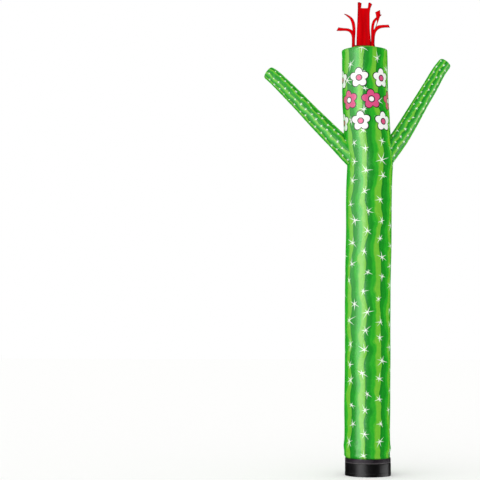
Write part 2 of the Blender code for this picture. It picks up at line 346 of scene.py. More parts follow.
def arm_layout(table, seed):
    """An arm's centre line, axes and radii, its skin with the directions out of it, the row of its root in
    each column and on average, the step from row to row, and the seed of its folds."""
    table = np.array(table) * MM
    table[:, :2] += (BASE_X, BASE_Y)
    reach = reaches(table[:, :3])
    rows = smooth_rows(reach, table, np.linspace(0, reach[-1], ARM_SAMPLES + 1))
    centre, radius = rows[:, :3], rows[:, 3]
    axis = unit(np.gradient(centre, axis=0))
    up = unit(square_to(axis, np.array([0, 0, 1])))
    side = np.cross(axis, up)
    out = ring_of(ARM_COLUMNS, up, side)
    skin = centre[:, None] + radius[:, None, None] * out
    inside = beyond_body(skin) < -TUCK
    root = np.array([np.nonzero(column)[0][-1] + 1 for column in inside.T])
    return SimpleNamespace(centre=centre, axis=axis, up=up, side=side, radius=radius, root=root,
                           foot=int(root.mean()), skin=np.concatenate([skin, out], axis=2),
                           step=reach[-1] / ARM_SAMPLES, seed=seed)


arms = {name: arm_layout(table, seed) for seed, (name, table) in enumerate(ARM_TABLES.items())}
for name, arm in arms.items():
    print(name, round(ARM_SAMPLES * arm.step, 3), "m long, root rows", arm.root.min(), "to", arm.root.max())

# %% [markdown]
# One function gives the body's surface for any turn and height, folds included. The tube, its stitches and
# everything sewn to it ask the same function, so they stay together.

# %% The body's surface with its folds
CUFF_FOLD = 1.5 * MM
CAP_FOLD = 0.7 * MM
ARM_FOLD = 1.1 * MM
BROAD_FOLD = 0.6 * MM
ROOT_FADE = 30 * MM     # the way over which folds fade from an arm's root


def around_arm(places, arm):
    """How far places are beyond an arm's own skin near its root, their turn about its line and the
    direction away from that line."""
    offset = square_to(arm.axis[arm.foot], places - arm.centre[arm.foot])
    turn = np.arctan2(offset @ arm.side[arm.foot], offset @ arm.up[arm.foot])
    return np.linalg.norm(offset, axis=-1) - arm.radius[arm.foot], turn, unit(offset)


def body_surface(turn, height, lift=0.0):
    """Places on the body's cloth."""
    turn, height = np.broadcast_arrays(turn, height)
    places = on_ring(turn, height, *ring_at(body_rings, height))
    swell = CUFF_FOLD * uneven(turn, 12, 26, seed=1) * fading(height - SLEEVE_TOP, 14 * MM, 50 * MM)
    swell += CAP_FOLD * uneven(turn, 18, 32, seed=2) * fading(BODY_TOP - height, 6 * MM, 25 * MM)
    broad = uneven(turn + 2 * height, 2, 5, seed=3) + uneven(3 * height - turn, 3, 6, seed=4)
    swell += BROAD_FOLD * broad / 1.5
    for arm in arms.values():
        beyond, arm_turn, _ = around_arm(places, arm)
        near = np.exp(-np.maximum(beyond, 0) / ROOT_FADE) * (np.sin(turn) * arm.axis[0][0] > 0)
        swell += ARM_FOLD * uneven(arm_turn, 6, 14, seed=10 + arm.seed) * near
    return places + level_out(turn) * (swell + lift)[..., None]


print("front of the body at 1 m:", np.round(body_surface(0.0, 1.0), 4))

# %% [markdown]
# The tube is cut open where each arm leaves it, so that the air can pass. Cells of the grid whose corners
# all lie inside the arm are left out, and the corners along the cut are moved onto a smooth curve.

# %% Cut the holes for the arms
BODY_COLUMNS = 192
HOLE_MARGIN = 5 * MM    # cloth left inside the arm's root seam

# Rows are close together where the folds are.
tube_rows = steps((BODY_FOOT + 2 * MM, 0.006), (0.30, 0.012), (0.50, 0.024), (2.00, 0.012), (2.08, 0.006),
                  (2.42, 0.012), (2.50, 0.022), (2.85, 0.006), (2.926, 0.003), (BODY_TOP, 0))
tube_turns = turns(BODY_COLUMNS)
tube_places = body_surface(tube_turns[:-1], tube_rows[:, None])
kept = np.ones((len(tube_rows) - 1, BODY_COLUMNS), bool)
for arm in arms.values():
    beyond, _, out = around_arm(tube_places, arm)
    on_its_side = (tube_places[..., 0] - BASE_X) * arm.axis[0][0] > 0
    hole = (beyond < -HOLE_MARGIN) & on_its_side
    cut = hole[:-1] & hole[1:]
    cut = cut & np.roll(cut, -1, axis=1)
    kept &= ~cut
    over, under = np.pad(cut, ((0, 1), (0, 0))), np.pad(cut, ((1, 0), (0, 0)))
    touching = np.stack([over, under, np.roll(over, 1, axis=1), np.roll(under, 1, axis=1)])
    edge = touching.any(axis=0) & ~touching.all(axis=0)
    tube_places[edge] -= (out * (beyond + HOLE_MARGIN)[..., None])[edge]
print(int((~kept).sum()), "cells cut out for the arms")

# %% Sew the body tube
tube_cloth = cloth_sheet("tube_cloth", tube_places, laid_flat(tube_turns * ROUND, tube_rows), ring=True,
                         kept=kept)
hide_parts("body_tube")
print("tube:", len(tube_cloth.data.polygons), "faces")

# %% [markdown]
# ## The arms
# Each arm is one more tapering sheet, sewn to the body round its root and hemmed at its mouth. The hem is
# the cloth folded in on itself, so it is thicker there and stands a little proud. The rows are close
# together where the folds are: near the root and at the mouth.

# %% An arm's surface with its folds
ARM_ROUND = 0.058       # the arms' usual radius
ARM_ROOT_FOLD = 1.2 * MM
ARM_HEM_FOLD = 0.5 * MM
ARM_BROAD_FOLD = 0.6 * BROAD_FOLD
HEM = 16 * MM           # depth of the hem round each mouth
HEM_STEP = 1.5 * MM     # the way over which the hem grows thick
HEM_THICK = 1.8 * MM
MOUTH_DRAWN_IN = 3 * MM


def on_hem(from_mouth):
    """1 on the hem round a mouth, 0 on the single cloth."""
    return 1 - rise(from_mouth, HEM - HEM_STEP, HEM)


def arm_surface(arm, turn, share):
    """Places on an arm's cloth at shares of the way from its root seam to its mouth, and how far along its
    line they lie."""
    turn, share = np.broadcast_arrays(turn, share)
    column = turn / (2 * math.pi) * ARM_COLUMNS
    left = np.floor(column).astype(int)
    one, two, part = left % ARM_COLUMNS, (left + 1) % ARM_COLUMNS, column - left
    root = arm.root[one] * (1 - part) + arm.root[two] * part
    row = root + (ARM_SAMPLES - root) * share
    low = np.minimum(np.floor(row).astype(int), ARM_SAMPLES - 1)
    part, above = part[..., None], (row - low)[..., None]
    near = arm.skin[low, one] * (1 - part) + arm.skin[low, two] * part
    far = arm.skin[low + 1, one] * (1 - part) + arm.skin[low + 1, two] * part
    places, out = np.split(near * (1 - above) + far * above, 2, axis=-1)
    from_root, from_mouth = (row - root) * arm.step, (ARM_SAMPLES - row) * arm.step
    swell = ARM_ROOT_FOLD * uneven(turn, 7, 17, seed=20 + arm.seed) * np.exp(-from_root / ROOT_FADE)
    swell += ARM_HEM_FOLD * uneven(turn, 8, 18, seed=30 + arm.seed) * fading(from_mouth, 10 * MM, 30 * MM)
    broad = uneven(turn + 6 * from_mouth, 2, 5, seed=40 + arm.seed)
    swell += ARM_BROAD_FOLD * broad * rise(from_mouth, 0, 50 * MM)
    swell += (HEM_THICK - CLOTH) / 2 * on_hem(from_mouth)
    swell -= MOUTH_DRAWN_IN * (1 - rise(from_mouth, 0, HEM))
    return places + out * swell[..., None], row * arm.step


print("top of the left arm's mouth:", np.round(arm_surface(arms["left_arm"], 0.0, 1.0)[0], 4))

# %% Sew the arms
ARM_SHARES = steps((0, 0.008), (0.10, 0.014), (0.92, 0.006), (0.97, 0.0024), (0.985, 0.005), (1, 0))

arm_turns = turns(ARM_COLUMNS)
arm_cloths = {}
for name, arm in arms.items():
    places, along = arm_surface(arm, arm_turns[:-1], ARM_SHARES[:, None])
    along = np.concatenate([along, along[:, :1]], axis=1)
    flat = np.stack(np.broadcast_arrays(arm_turns * ARM_ROUND, along), axis=-1)
    to_mouth = (1 - ARM_SHARES) * (ARM_SAMPLES - arm.root.mean()) * arm.step
    thick = CLOTH + (HEM_THICK - CLOTH) * on_hem(to_mouth)
    cloth = cloth_sheet(name + "_cloth", places, flat, thick, ring=True)
    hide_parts(name)
    arm_cloths[name] = cloth

# %% [markdown]
# ## The head cap
# A round panel closes the tube. Air blows it into a shallow dome, and the seam round it puckers. A disc
# could be rings of faces round a centre point, but the rings crowd together there. Here a square grid is
# pressed into a disc instead, so that the faces stay about equal.

# %% The dome of the cap
cap_low, cap_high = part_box("head_cap")
CAP_RADIUS = (cap_high.x - cap_low.x) / 2
CAP_X = (cap_high.x + cap_low.x) / 2
CAP_RISE = cap_high.z - cap_low.z
CAP_BALL = (CAP_RADIUS ** 2 + CAP_RISE ** 2) / (2 * CAP_RISE)   # radius of the ball the dome is cut from


def cap_height(x, y):
    """The height of the cap's cloth over a place, as a shallow piece of a ball with a puckered rim."""
    out = np.minimum(np.hypot(x, y), CAP_RADIUS)
    dome = cap_high.z - CAP_BALL + np.sqrt(CAP_BALL ** 2 - out ** 2)
    puckers = uneven(np.arctan2(x, -y), 16, 30, seed=5) * fading(CAP_RADIUS - out, 8 * MM, 20 * MM)
    return dome + CAP_FOLD * puckers


print("cap: radius", round(CAP_RADIUS, 4), "m, rise", round(CAP_RISE / MM, 1), "mm")

# %% Sew the head cap
CAP_CELLS = 56          # along each side of the square grid

across = np.linspace(-1, 1, CAP_CELLS + 1)
square_x, square_y = np.meshgrid(across, across)
disc_x = CAP_RADIUS * square_x * np.sqrt(1 - square_y ** 2 / 2)
disc_y = CAP_RADIUS * square_y * np.sqrt(1 - square_x ** 2 / 2)
cap_places = np.stack([CAP_X + disc_x, BASE_Y + disc_y, cap_height(disc_x, disc_y)], axis=-1)
cap_flat = np.stack([disc_x, disc_y + BODY_TOP + CAP_RADIUS], axis=-1)
cap_cloth = cloth_sheet("cap_cloth", cap_places, cap_flat)
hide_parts("head_cap")
print("cap:", len(cap_cloth.data.polygons), "faces")

# %% [markdown]
# ## Seams and stitches
# A seam shows as a low roll where two cloths are turned in, and as a row of thread. Stitches as short as
# real ones, 3 mm, would be too many and too fine to see, so these are 5 or 6 mm apart. Each is a thread
# that rises out of the cloth, lies on it and goes back in. Rolls and stitches are both rods: rings of
# places, one after the other along a line. One mesh holds a whole row.

# %% Rods, and a seam roll
ROLL_SIDES = 10
ROLL_SPREAD = 1.3       # a roll's width as a share of its height
ROLL_SIDE = 0.7         # width of one of its sides on the flat cloth, as a share of half its height


def rods(name, rings, looped=False, flat=None, smooth_below=50):
    """Rods in one mesh. Rings holds places by rod, by ring along the rod and round the ring. A looped rod's
    last ring is joined to its first, and any other rod is closed at both ends."""
    faces = []
    for rod in np.arange(rings[..., 0].size).reshape(rings.shape[:3]):
        following = np.roll(rod, -1, axis=0) if looped else rod[1:]
        for low, high in zip(rod, following):
            faces += np.stack([low, np.roll(low, -1), np.roll(high, -1), high], axis=1).tolist()
        if not looped:
            faces += [rod[0, ::-1].tolist(), rod[-1].tolist()]
    return new_piece(name, rings, faces, flat, smooth_below)


def seam_roll(name, line, out, size):
    """A low roll of turned-in cloth along a closed line. Out holds the direction away from the cloth at
    each of its points, and size is half the roll's height."""
    ahead = unit(np.roll(line, -1, axis=0) - np.roll(line, 1, axis=0))
    away = unit(square_to(ahead, out))
    rings = line[:, None] + size * ring_of(ROLL_SIDES, away, ROLL_SPREAD * np.cross(ahead, away))
    step = reaches(line)[-1] / (len(line) - 1)
    along = (np.arange(len(line))[:, None, None] + [0, 0, 1, 1]) * step
    aside = (np.arange(ROLL_SIDES)[:, None] + [0, 1, 1, 0]) * size * ROLL_SIDE
    flat = np.stack(np.broadcast_arrays(along, aside, 0.0), axis=-1)
    return rods(name, rings[None], looped=True, flat=flat)


print("a seam roll has", ROLL_SIDES, "sides")

# %% A row of stitches
THREAD = 0.9 * MM       # the thread's width
STITCH_PITCH = 6.0 * MM
STITCH_SIDES = 6
# Columns: place along the stitch in pitches, height above the cloth and width in threads.
STITCH_SHAPE = [
    (-0.40, -0.5, 0.7), (-0.30, 0.2, 1.0), (0.0, 0.35, 1.05), (0.30, 0.2, 1.0), (0.40, -0.5, 0.7),
]


def read_along(reach, rows, at):
    """Rows of values at their reaches along a line, read off at other reaches."""
    return np.stack([np.interp(at, reach, column) for column in rows.T], axis=1)


def stitches(name, line, out, closed=False, pitch=STITCH_PITCH, thread=THREAD):
    """A row of stitches along a line. Out holds the direction away from the cloth at each of its points."""
    if closed:
        line, out = (np.concatenate([rows, rows[:1]]) for rows in (line, out))
    reach = reaches(line)
    count = max(2, round(reach[-1] / pitch))
    at = (np.arange(count) + 0.5) * reach[-1] / count
    middle, before, after = (read_along(reach, line, at + shift * pitch) for shift in (0, -0.3, 0.3))
    ahead = unit(after - before)
    away = unit(square_to(ahead, read_along(reach, out, at)))
    round_it = ring_of(STITCH_SIDES, away, np.cross(ahead, away)) * thread / 2
    rings = [(middle + ahead * along * pitch + away * raised * thread)[:, None] + round_it * fat
             for along, raised, fat in STITCH_SHAPE]
    return rods(name, np.stack(rings, axis=1), smooth_below=80)


print("stitches", STITCH_PITCH / MM, "mm apart, of thread", THREAD / MM, "mm wide")

# %% [markdown]
# Every line of stitches below is a line on a surface that is there already: round the cap's seam, round
# each mouth's hem, round each arm's root and up the back, where the tube's two long edges are joined.

# %% Stitch the cap and the arms
CAP_ROLL = 1.2 * MM     # half the height of the roll round the cap, like ARM_ROLL
CAP_ROLL_LOW = 0.2 * MM         # how far the roll's middle is below the cap
CAP_ROLL_SUNK = 0.4 * MM        # how far it is inside the tube
CAP_STITCHES = 9 * MM   # from the cap down to its row of stitches
ARM_ROLL = 1.4 * MM
HEM_STITCHES = 3 * MM   # from a hem's inner edge to its row
JUST_OUT = 0.012        # the share of an arm over which its way out of the root is measured
RING_POINTS = 240

full_turn = 2 * math.pi * np.arange(RING_POINTS) / RING_POINTS
radial = level_out(full_turn)

rim = body_surface(full_turn, BODY_TOP - CAP_ROLL_LOW, lift=-CAP_ROLL_SUNK)
seam_pieces = [seam_roll("cap_seam", rim, radial, CAP_ROLL)]
below_rim = body_surface(full_turn, BODY_TOP - CAP_STITCHES)
thread_pieces = [stitches("cap_stitches", below_rim, radial, closed=True)]
for name, arm in arms.items():
    root_line, _ = arm_surface(arm, full_turn, 0.0)
    just_out, _ = arm_surface(arm, full_turn, JUST_OUT)
    root_line = root_line + TUCK * unit(just_out - root_line)
    body_out = unit((root_line - (BASE_X, BASE_Y, 0)) * (1, 1, 0))
    _, _, arm_out = around_arm(root_line, arm)
    seam_pieces.append(seam_roll(name + "_seam", root_line, body_out + arm_out, ARM_ROLL))
    share = 1 - (HEM - HEM_STITCHES) / ((ARM_SAMPLES - arm.foot) * arm.step)
    hem_line, _ = arm_surface(arm, full_turn, share)
    hem_out = unit(hem_line - hem_line.mean(axis=0))
    thread_pieces.append(stitches(name + "_hem_stitches", hem_line, hem_out, closed=True))
print("seam rolls:", ", ".join(piece.name for piece in seam_pieces))

# %% Stitch the tube's back
BACK_POINTS = 500
BACK_ROW = 3.5 * MM     # from the seam to the row of stitches at each side of it

back_heights = np.linspace(SLEEVE_TOP + 6 * MM, BODY_TOP - 14 * MM, BACK_POINTS)
for side, shift in (("left", -BACK_ROW), ("right", BACK_ROW)):
    back_line = body_surface(math.pi + shift / ROUND, back_heights)
    back_out = np.tile((0.0, 1.0, 0.0), (BACK_POINTS, 1))
    thread_pieces.append(stitches("back_stitches_" + side, back_line, back_out))
print("rows of stitches:", ", ".join(piece.name for piece in thread_pieces))

# %% [markdown]
# ## The base sleeve and its strap
# The black sleeve slips over the round outlet of the blower. It is a heavier coated cloth with a hem at its
# foot. Round its top goes a strap of webbing that lies over its own end and holds by hook and loop. The
# strap pulls the cloth in, so a narrow groove runs under it, and below the groove the cloth falls straight.

# %% The sleeve's surface
SLEEVE_CLOTH = 1.0 * MM
SLEEVE_HEM = 24 * MM
SLEEVE_HEM_STEP = 1 * MM        # half the way over which the hem grows thick
SLEEVE_STITCHES = 4 * MM        # from the hem's upper edge to its row
SLEEVE_HEM_ADDS = 0.9 * MM      # to the cloth's thickness
SLEEVE_HEM_STANDS = 0.6 * MM    # out of the cloth above it
SLEEVE_WAVE = 0.15 * MM
GROOVE = 4 * MM                 # height over which the strap pulls the cloth in
strap_low, strap_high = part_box("strap")
SLACK_RADIUS = sleeve_radii.max()


def on_sleeve_hem(height):
    """1 on the sleeve's hem, 0 above it."""
    return 1 - rise(height, SLEEVE_HEM - SLEEVE_HEM_STEP, SLEEVE_HEM + SLEEVE_HEM_STEP)


def sleeve_surface(turn, height):
    """Places on the sleeve's cloth."""
    middle, radius = ring_at(sleeve_rings, height)
    groove = rise(height, strap_low.z - GROOVE, strap_low.z)
    radius = np.where(height < strap_low.z, SLACK_RADIUS + (radius - SLACK_RADIUS) * groove, radius)
    slack = np.sin(np.clip((height - SLEEVE_HEM) / (strap_low.z - SLEEVE_HEM), 0, 1) * math.pi)
    swell = SLEEVE_HEM_STANDS * on_sleeve_hem(height) + SLEEVE_WAVE * slack * uneven(turn, 3, 6, seed=6)
    return on_ring(turn, height, middle, radius + swell)


print("sleeve: radius", round(SLACK_RADIUS, 4), "m below the strap")

# %% Sew the sleeve
SLEEVE_COLUMNS = 180
# Rows are close together at the hem's upper edge and at the groove.
sleeve_rows = steps((0, 0.002), (0.004, 0.004), (0.022, 0.001), (0.027, 0.005), (0.084, 0.001),
                    (0.091, 0.003), (SLEEVE_TOP, 0))

sleeve_turns = turns(SLEEVE_COLUMNS)
sleeve_cloth = cloth_sheet("sleeve_cloth", sleeve_surface(sleeve_turns[:-1], sleeve_rows[:, None]),
                           laid_flat(sleeve_turns * ROUND, sleeve_rows),
                           SLEEVE_CLOTH + SLEEVE_HEM_ADDS * on_sleeve_hem(sleeve_rows), ring=True)
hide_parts("base_sleeve")
sleeve_line = sleeve_surface(full_turn, SLEEVE_HEM - SLEEVE_STITCHES)
sleeve_stitches = stitches("sleeve_hem_stitches", sleeve_line, radial, closed=True)
print("sleeve:", round(SLEEVE_TOP / MM), "mm high,", len(sleeve_cloth.data.polygons), "faces")

# %% [markdown]
# The strap is wound as one sheet, from its hidden end to the end that shows. It has to climb over the
# hidden end, and this climb is the same as in the solid: angles are counted from the front towards the
# right.

# %% Lay out the strap's winding
STRAP_HIDDEN_END = 21   # degrees, like the three below
STRAP_FREE_END = 46
STRAP_RAMP = 17         # the way over which the strap climbs
STRAP_CLEAR = 3         # from the end of the climb to the hidden end
STRAP_THICK = 1.6 * MM
STRAP_GAP = 0.3 * MM
STRAP_BEVEL = 0.7 * MM          # how far the edges are rounded off
BEVEL_WIDTH = 0.08              # as a share of the strap's width
# Rows of the sheet, as shares of the strap's width. They are close together at the rounded edges.
STRAP_ROWS = np.array([0, 0.03, 0.08, 0.16, 0.24, 0.25, 0.35, 0.5, 0.65, 0.75, 0.76, 0.84, 0.92, 0.97, 1])

winding = steps((STRAP_HIDDEN_END - 360, 2.0), (STRAP_HIDDEN_END - 24, 0.75), (STRAP_FREE_END, 0))
climb = rise(winding, STRAP_HIDDEN_END - STRAP_CLEAR - STRAP_RAMP, STRAP_HIDDEN_END - STRAP_CLEAR)
strap_inside = np.interp(strap_high.z, sleeve_heights, sleeve_radii) + STRAP_GAP
strap_radius = strap_inside + STRAP_THICK + (STRAP_THICK + STRAP_GAP) * climb
strap_turns = np.radians(winding)
strap_wide = strap_high.z - strap_low.z

# %% Wind the strap
FINE_STITCHES = {"pitch": 5 * MM, "thread": 0.7 * MM}
THREAD_LIFT = 0.02 * MM

strap_heights = strap_low.z + strap_wide * STRAP_ROWS
bevel = -STRAP_BEVEL * (1 - rise(np.minimum(STRAP_ROWS, 1 - STRAP_ROWS), 0, BEVEL_WIDTH))
strap_places = on_ring(strap_turns, strap_heights[:, None], BASE_X, strap_radius + bevel[:, None])
strap = cloth_sheet("strap_webbing", strap_places, laid_flat(strap_turns * strap_inside, strap_heights),
                    STRAP_THICK + bevel)
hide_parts("strap")
strap_threads = []
for row, share in (("low", 0.10), ("high", 0.90)):
    line = on_ring(strap_turns, strap_low.z + strap_wide * share, BASE_X, strap_radius + THREAD_LIFT)
    strap_threads.append(stitches("strap_stitches_" + row, line, level_out(strap_turns), **FINE_STITCHES))
print("strap:", len(strap.data.polygons), "faces,", len(strap_threads), "rows of stitches")

# %% [markdown]
# ## The hair
# Ribbons of red nylon stand in the air stream above the head. Their feet are caught in a folded tape that
# is sewn across the cap. A ribbon keeps its line and width from the solids. It is also bowed a little
# across its width, since cloth that is bowed across can stand up and flat cloth can't.

# %% The ribbons' lines and widths
# Root to tip, in millimetres from the base's middle. Columns: x, y, z of the ribbon's middle, its width,
# and in degrees the slope of its width line seen from the front and the turn of that line out of the plane.
RIBBON_TABLES = {
    "left_low": [
        (-85, -3, 2970, 22, 0, 0), (-85, -3, 3017, 20, 0, 0), (-85, -5, 3043, 22, 11, 0),
        (-90, -8, 3062, 24, 18, 0), (-102, -12, 3078, 26, 23, 0), (-124, -16, 3087, 26, 40, 0),
        (-149, -20, 3089, 24, 55, 0), (-172, -22, 3090, 26, 61, 0), (-195, -25, 3092, 28, 62, 0),
    ],
    "left_high": [
        (-84, 0, 2970, 22, 0, 0), (-82, 0, 3033, 21, 0, 0), (-79, 2, 3081, 21, 0, 0),
        (-81, 5, 3113, 23, 0, 0), (-87, 9, 3146, 23, 13, 0), (-101, 14, 3175, 19, 24, 0),
        (-117, 18, 3190, 15, 36, 0), (-137, 23, 3204, 9, 60, 0), (-148, 27, 3209, 4, 80, 0),
    ],
    "right_low": [
        (52, 0, 2970, 23, 0, 0), (54, 0, 3020, 21, -6, 0), (58, 0, 3053, 21, -20, 0),
        (65, 0, 3076, 22, -24, 0), (76, -2, 3092, 24, -41, 0), (93, -5, 3104, 26, -56, 0),
        (120, -10, 3108, 23, -67, 0), (144, -14, 3108, 22, -66, 0), (166, -18, 3107, 24, -66, 0),
    ],
    "right_high": [
        (49, -3, 2970, 23, 0, 0), (49, -3, 3046, 21, 0, 0), (50, -2, 3104, 20, 0, 0),
        (56, 1, 3136, 20, -10, 0), (64, 5, 3153, 20, -22, 0), (76, 9, 3168, 17, -37, 0),
        (92, 13, 3182, 13, -48, 0), (112, 19, 3197, 7, -71, 0),
    ],
    "right_twist": [
        (55, 3, 2970, 16, 0, 0), (55, 3, 3037, 17, 0, 0), (60, 5, 3073, 15, -8, 4),
        (70, 8, 3100, 10, -10, 46), (78, 8, 3122, 13, 0, 72), (84, 4, 3140, 14, 0, 62),
        (87, -2, 3158, 18, 0, 24), (88, -7, 3175, 26, 0, 7), (89, -10, 3194, 32, 6, 2),
        (85, -12, 3216, 37, 26, 0),
    ],
}
print("ribbons:", ", ".join(RIBBON_TABLES))

# %% Lay out a ribbon
RIBBON_CLOTH = 0.7 * MM
RIBBON_COLUMNS = 8
RIBBON_STEPS = 8        # rows from one line of its table to the next
RIBBON_BOW = 0.10       # depth of the bow as a share of the ribbon's width
RIBBON_WAVE = 0.4       # mm


def ribbon_places(table, seed):
    """A grid of places on a ribbon, root to tip and left to right, and the same grid laid flat."""
    table = np.array(table, dtype=float)
    reach = reaches(table[:, :3])
    way = np.linspace(0, 1, RIBBON_STEPS * (len(table) - 1) + 1)[:, None]
    rows = smooth_rows(reach, table, reach[-1] * way[:, 0])
    middle, width = rows[:, :3], rows[:, 3:4]
    slope, turn = np.radians(rows[:, 4:]).T
    right = np.stack([np.cos(slope) * np.cos(turn), np.sin(turn), np.sin(slope) * np.cos(turn)], axis=1)
    front = unit(np.cross(right, np.gradient(middle, axis=0)))
    share = np.linspace(-1, 1, RIBBON_COLUMNS + 1)
    wave = RIBBON_WAVE * np.sin(4 * share + seed) * np.sin(9 * way + seed)
    bow = rise(way, 0.05, 0.4) * (width * RIBBON_BOW * (1 - share ** 2) + wave)
    aside = share * width / 2
    places = middle[:, None] + aside[..., None] * right[:, None] + bow[..., None] * front[:, None]
    up = np.broadcast_to(reach[-1] * way, bow.shape)
    from_edge = np.minimum(width / 2 - np.abs(aside), reach[-1] - up)
    return places * MM + (BASE_X, BASE_Y, 0), np.stack([aside, up, from_edge], axis=-1) * MM


print("a ribbon", RIBBON_COLUMNS, "cells wide is bowed by a share of", RIBBON_BOW)

# %% Cut the ribbons
ribbons = []
for seed, (name, table) in enumerate(RIBBON_TABLES.items()):
    places, flat = ribbon_places(table, seed)
    ribbon = cloth_sheet("ribbon_" + name, places, flat, RIBBON_CLOTH)
    ribbons.append(ribbon)

# %% [markdown]
# The broad middle ribbon parts into two tails at its top. It stands in soft folds along its length: shallow
# at the foot, where the tape holds it, and deeper higher up. The folds come from a few depths across the
# ribbon, joined by a smooth curve.

# %% The middle ribbon's shape, in millimetres from the base's middle
# Columns: height, left edge, right edge.
PANEL_SIDES = np.array([
    (2970, -64, 39), (3030, -62, 36), (3080, -60, 32), (3158, -56, 31), (3213, -54, 32), (3243, -53, 37),
])
# Columns: place across the ribbon, depth of the fold at the foot and on top.
PANEL_FOLDS = np.array([
    (0.0, 0.6, 2.5), (0.135, -1.2, -2.0), (0.27, -1.5, -4.5), (0.44, 0.8, 1.5), (0.62, 1.4, 4.0),
    (0.79, -0.8, -1.0), (0.895, -1.5, -4.5), (1.0, 1.0, 2.0),
])
# Columns: place across the ribbon, x and height of the tail's end there. The notch lies between the tails.
NOTCH_LEFT, NOTCH_RIGHT = 0.27, 0.79
PANEL_TAILS = np.array([
    (0.0, -53, 3285), (0.135, -40, 3286), (NOTCH_LEFT, -25, 3276), (NOTCH_RIGHT, 23, 3280),
    (0.895, 32, 3281), (1.0, 49, 3269),
])
PANEL_FOOT, PANEL_TOP = PANEL_SIDES[[0, -1], 0]
TAIL_TOP = PANEL_TAILS[1, 2]
print("middle ribbon from", PANEL_FOOT, "to", TAIL_TOP, "mm, tails from", PANEL_TOP, "mm")

# %% Lay out the middle ribbon
PANEL_COLUMNS = 37
PANEL_ROWS = 52
TAIL_ROWS = 8
PANEL_RIPPLE = 0.5      # mm
TAIL_BOW = 2.0          # mm

share = np.linspace(0, 1, PANEL_COLUMNS + 1)
heights = np.linspace(PANEL_FOOT, PANEL_TOP, PANEL_ROWS + 1)[:, None]
way = (heights - PANEL_FOOT) / (PANEL_TOP - PANEL_FOOT)
left, right = smooth_rows(PANEL_SIDES[:, 0], PANEL_SIDES[:, 1:], heights[:, 0]).T[..., None]
foot_depth, top_depth = smooth_rows(PANEL_FOLDS[:, 0], PANEL_FOLDS[:, 1:], share).T
depth = foot_depth * (1 - way) + top_depth * way
depth = depth + PANEL_RIPPLE * np.sin(31 * share + 4 * way) * np.sin(3.1 * way)
panel = np.stack(np.broadcast_arrays(left + (right - left) * share, depth, heights), axis=-1)
tail_x, tail_z = (np.interp(share, PANEL_TAILS[:, 0], column) for column in PANEL_TAILS.T[1:])
tail = np.stack([tail_x - panel[-1, :, 0], TAIL_BOW * np.sin(9 * share), tail_z - PANEL_TOP], axis=-1)
grown = np.arange(1, TAIL_ROWS + 1)[:, None, None] / TAIL_ROWS
panel = np.concatenate([panel, panel[-1] + grown * tail])
print("middle ribbon:", PANEL_ROWS + TAIL_ROWS, "rows of", PANEL_COLUMNS, "cells")

# %% Cut the middle ribbon
NOTCH_LINE = 3          # mm of the dark sealed line that are left out where the tails begin

column_middle = (share[:-1] + share[1:]) / 2
panel_kept = np.ones((PANEL_ROWS + TAIL_ROWS, PANEL_COLUMNS), bool)
panel_kept[PANEL_ROWS:] = (column_middle < NOTCH_LEFT) | (column_middle > NOTCH_RIGHT)
from_side = np.minimum(share, 1 - share) * (right - left)
from_side = np.minimum(from_side, NOTCH_LINE + PANEL_TOP - heights)
from_cut = np.abs(share[:, None] - [0, NOTCH_LEFT, NOTCH_RIGHT, 1]).min(axis=1)
from_cut = from_cut * (PANEL_SIDES[-1, 2] - PANEL_SIDES[-1, 1])
from_tip = np.linspace(TAIL_TOP - PANEL_TOP, 0, TAIL_ROWS + 1)[:, None]
from_edge = np.concatenate([from_side[:-1], np.minimum(from_cut, from_tip)])
middle_ribbon = cloth_sheet("ribbon_middle", panel * MM + (BASE_X, BASE_Y, 0),
                            np.dstack([panel[..., [0, 2]], from_edge]) * MM, RIBBON_CLOTH, kept=panel_kept)
ribbons.append(middle_ribbon)
for ribbon in ribbons:
    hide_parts("hair")

# %% [markdown]
# The tape is one strip folded over the ribbons' feet: two flanges lie on the cap, and a fold stands up
# between them. A row of stitches along each side of the fold holds the feet. The tape's section is a short
# outline that follows the dome of the cap.

# %% Fold the tape
TAPE_LEFT = -95.5 * MM
TAPE_RIGHT = 65.5 * MM
TAPE_TOP = 2981.2 * MM
TAPE_STEPS = 60
TAPE_RIPPLE = 0.06      # as a share of the fold's width
FOLD_HALF = 4 * MM      # what is nearer to the middle than this is fold, and what is farther is flange
# Half of the section, from the flange's underside up to the fold, in millimetres. Columns: distance from
# the middle, height.
TAPE_SECTION = [
    (4.7, 0.3), (4.9, 1.0), (4.5, 1.7), (3.0, 2.2), (2.5, 3.2), (2.4, 8.0), (2.2, 11.5), (1.2, 13.0),
]

half = np.array(TAPE_SECTION) * MM
across, up = np.concatenate([half, half[::-1] * (-1, 1)]).T
tape_x = np.linspace(TAPE_LEFT, TAPE_RIGHT, TAPE_STEPS + 1)[:, None]
tape_foot = cap_height(tape_x - (CAP_X - BASE_X), 0.0)
taller = (TAPE_TOP - tape_foot) / half[-1, 1]
wavy = 1 + TAPE_RIPPLE * uneven(tape_x / (TAPE_RIGHT - TAPE_LEFT) * math.pi, 3, 12, seed=8)
aside = across * np.where(np.abs(across) < FOLD_HALF, wavy, 1)
rings = np.stack(np.broadcast_arrays(BASE_X + tape_x, BASE_Y + aside, tape_foot + up * taller), axis=-1)
hair_tape = rods("hair_tape", rings[None])
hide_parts("hair")
print("tape:", round((TAPE_RIGHT - TAPE_LEFT) / MM), "mm long,", len(hair_tape.data.polygons), "faces")

# %% Stitch the tape
TAPE_STITCHES_UP = 7 * MM
TAPE_STITCHES_OUT = 2.4 * MM

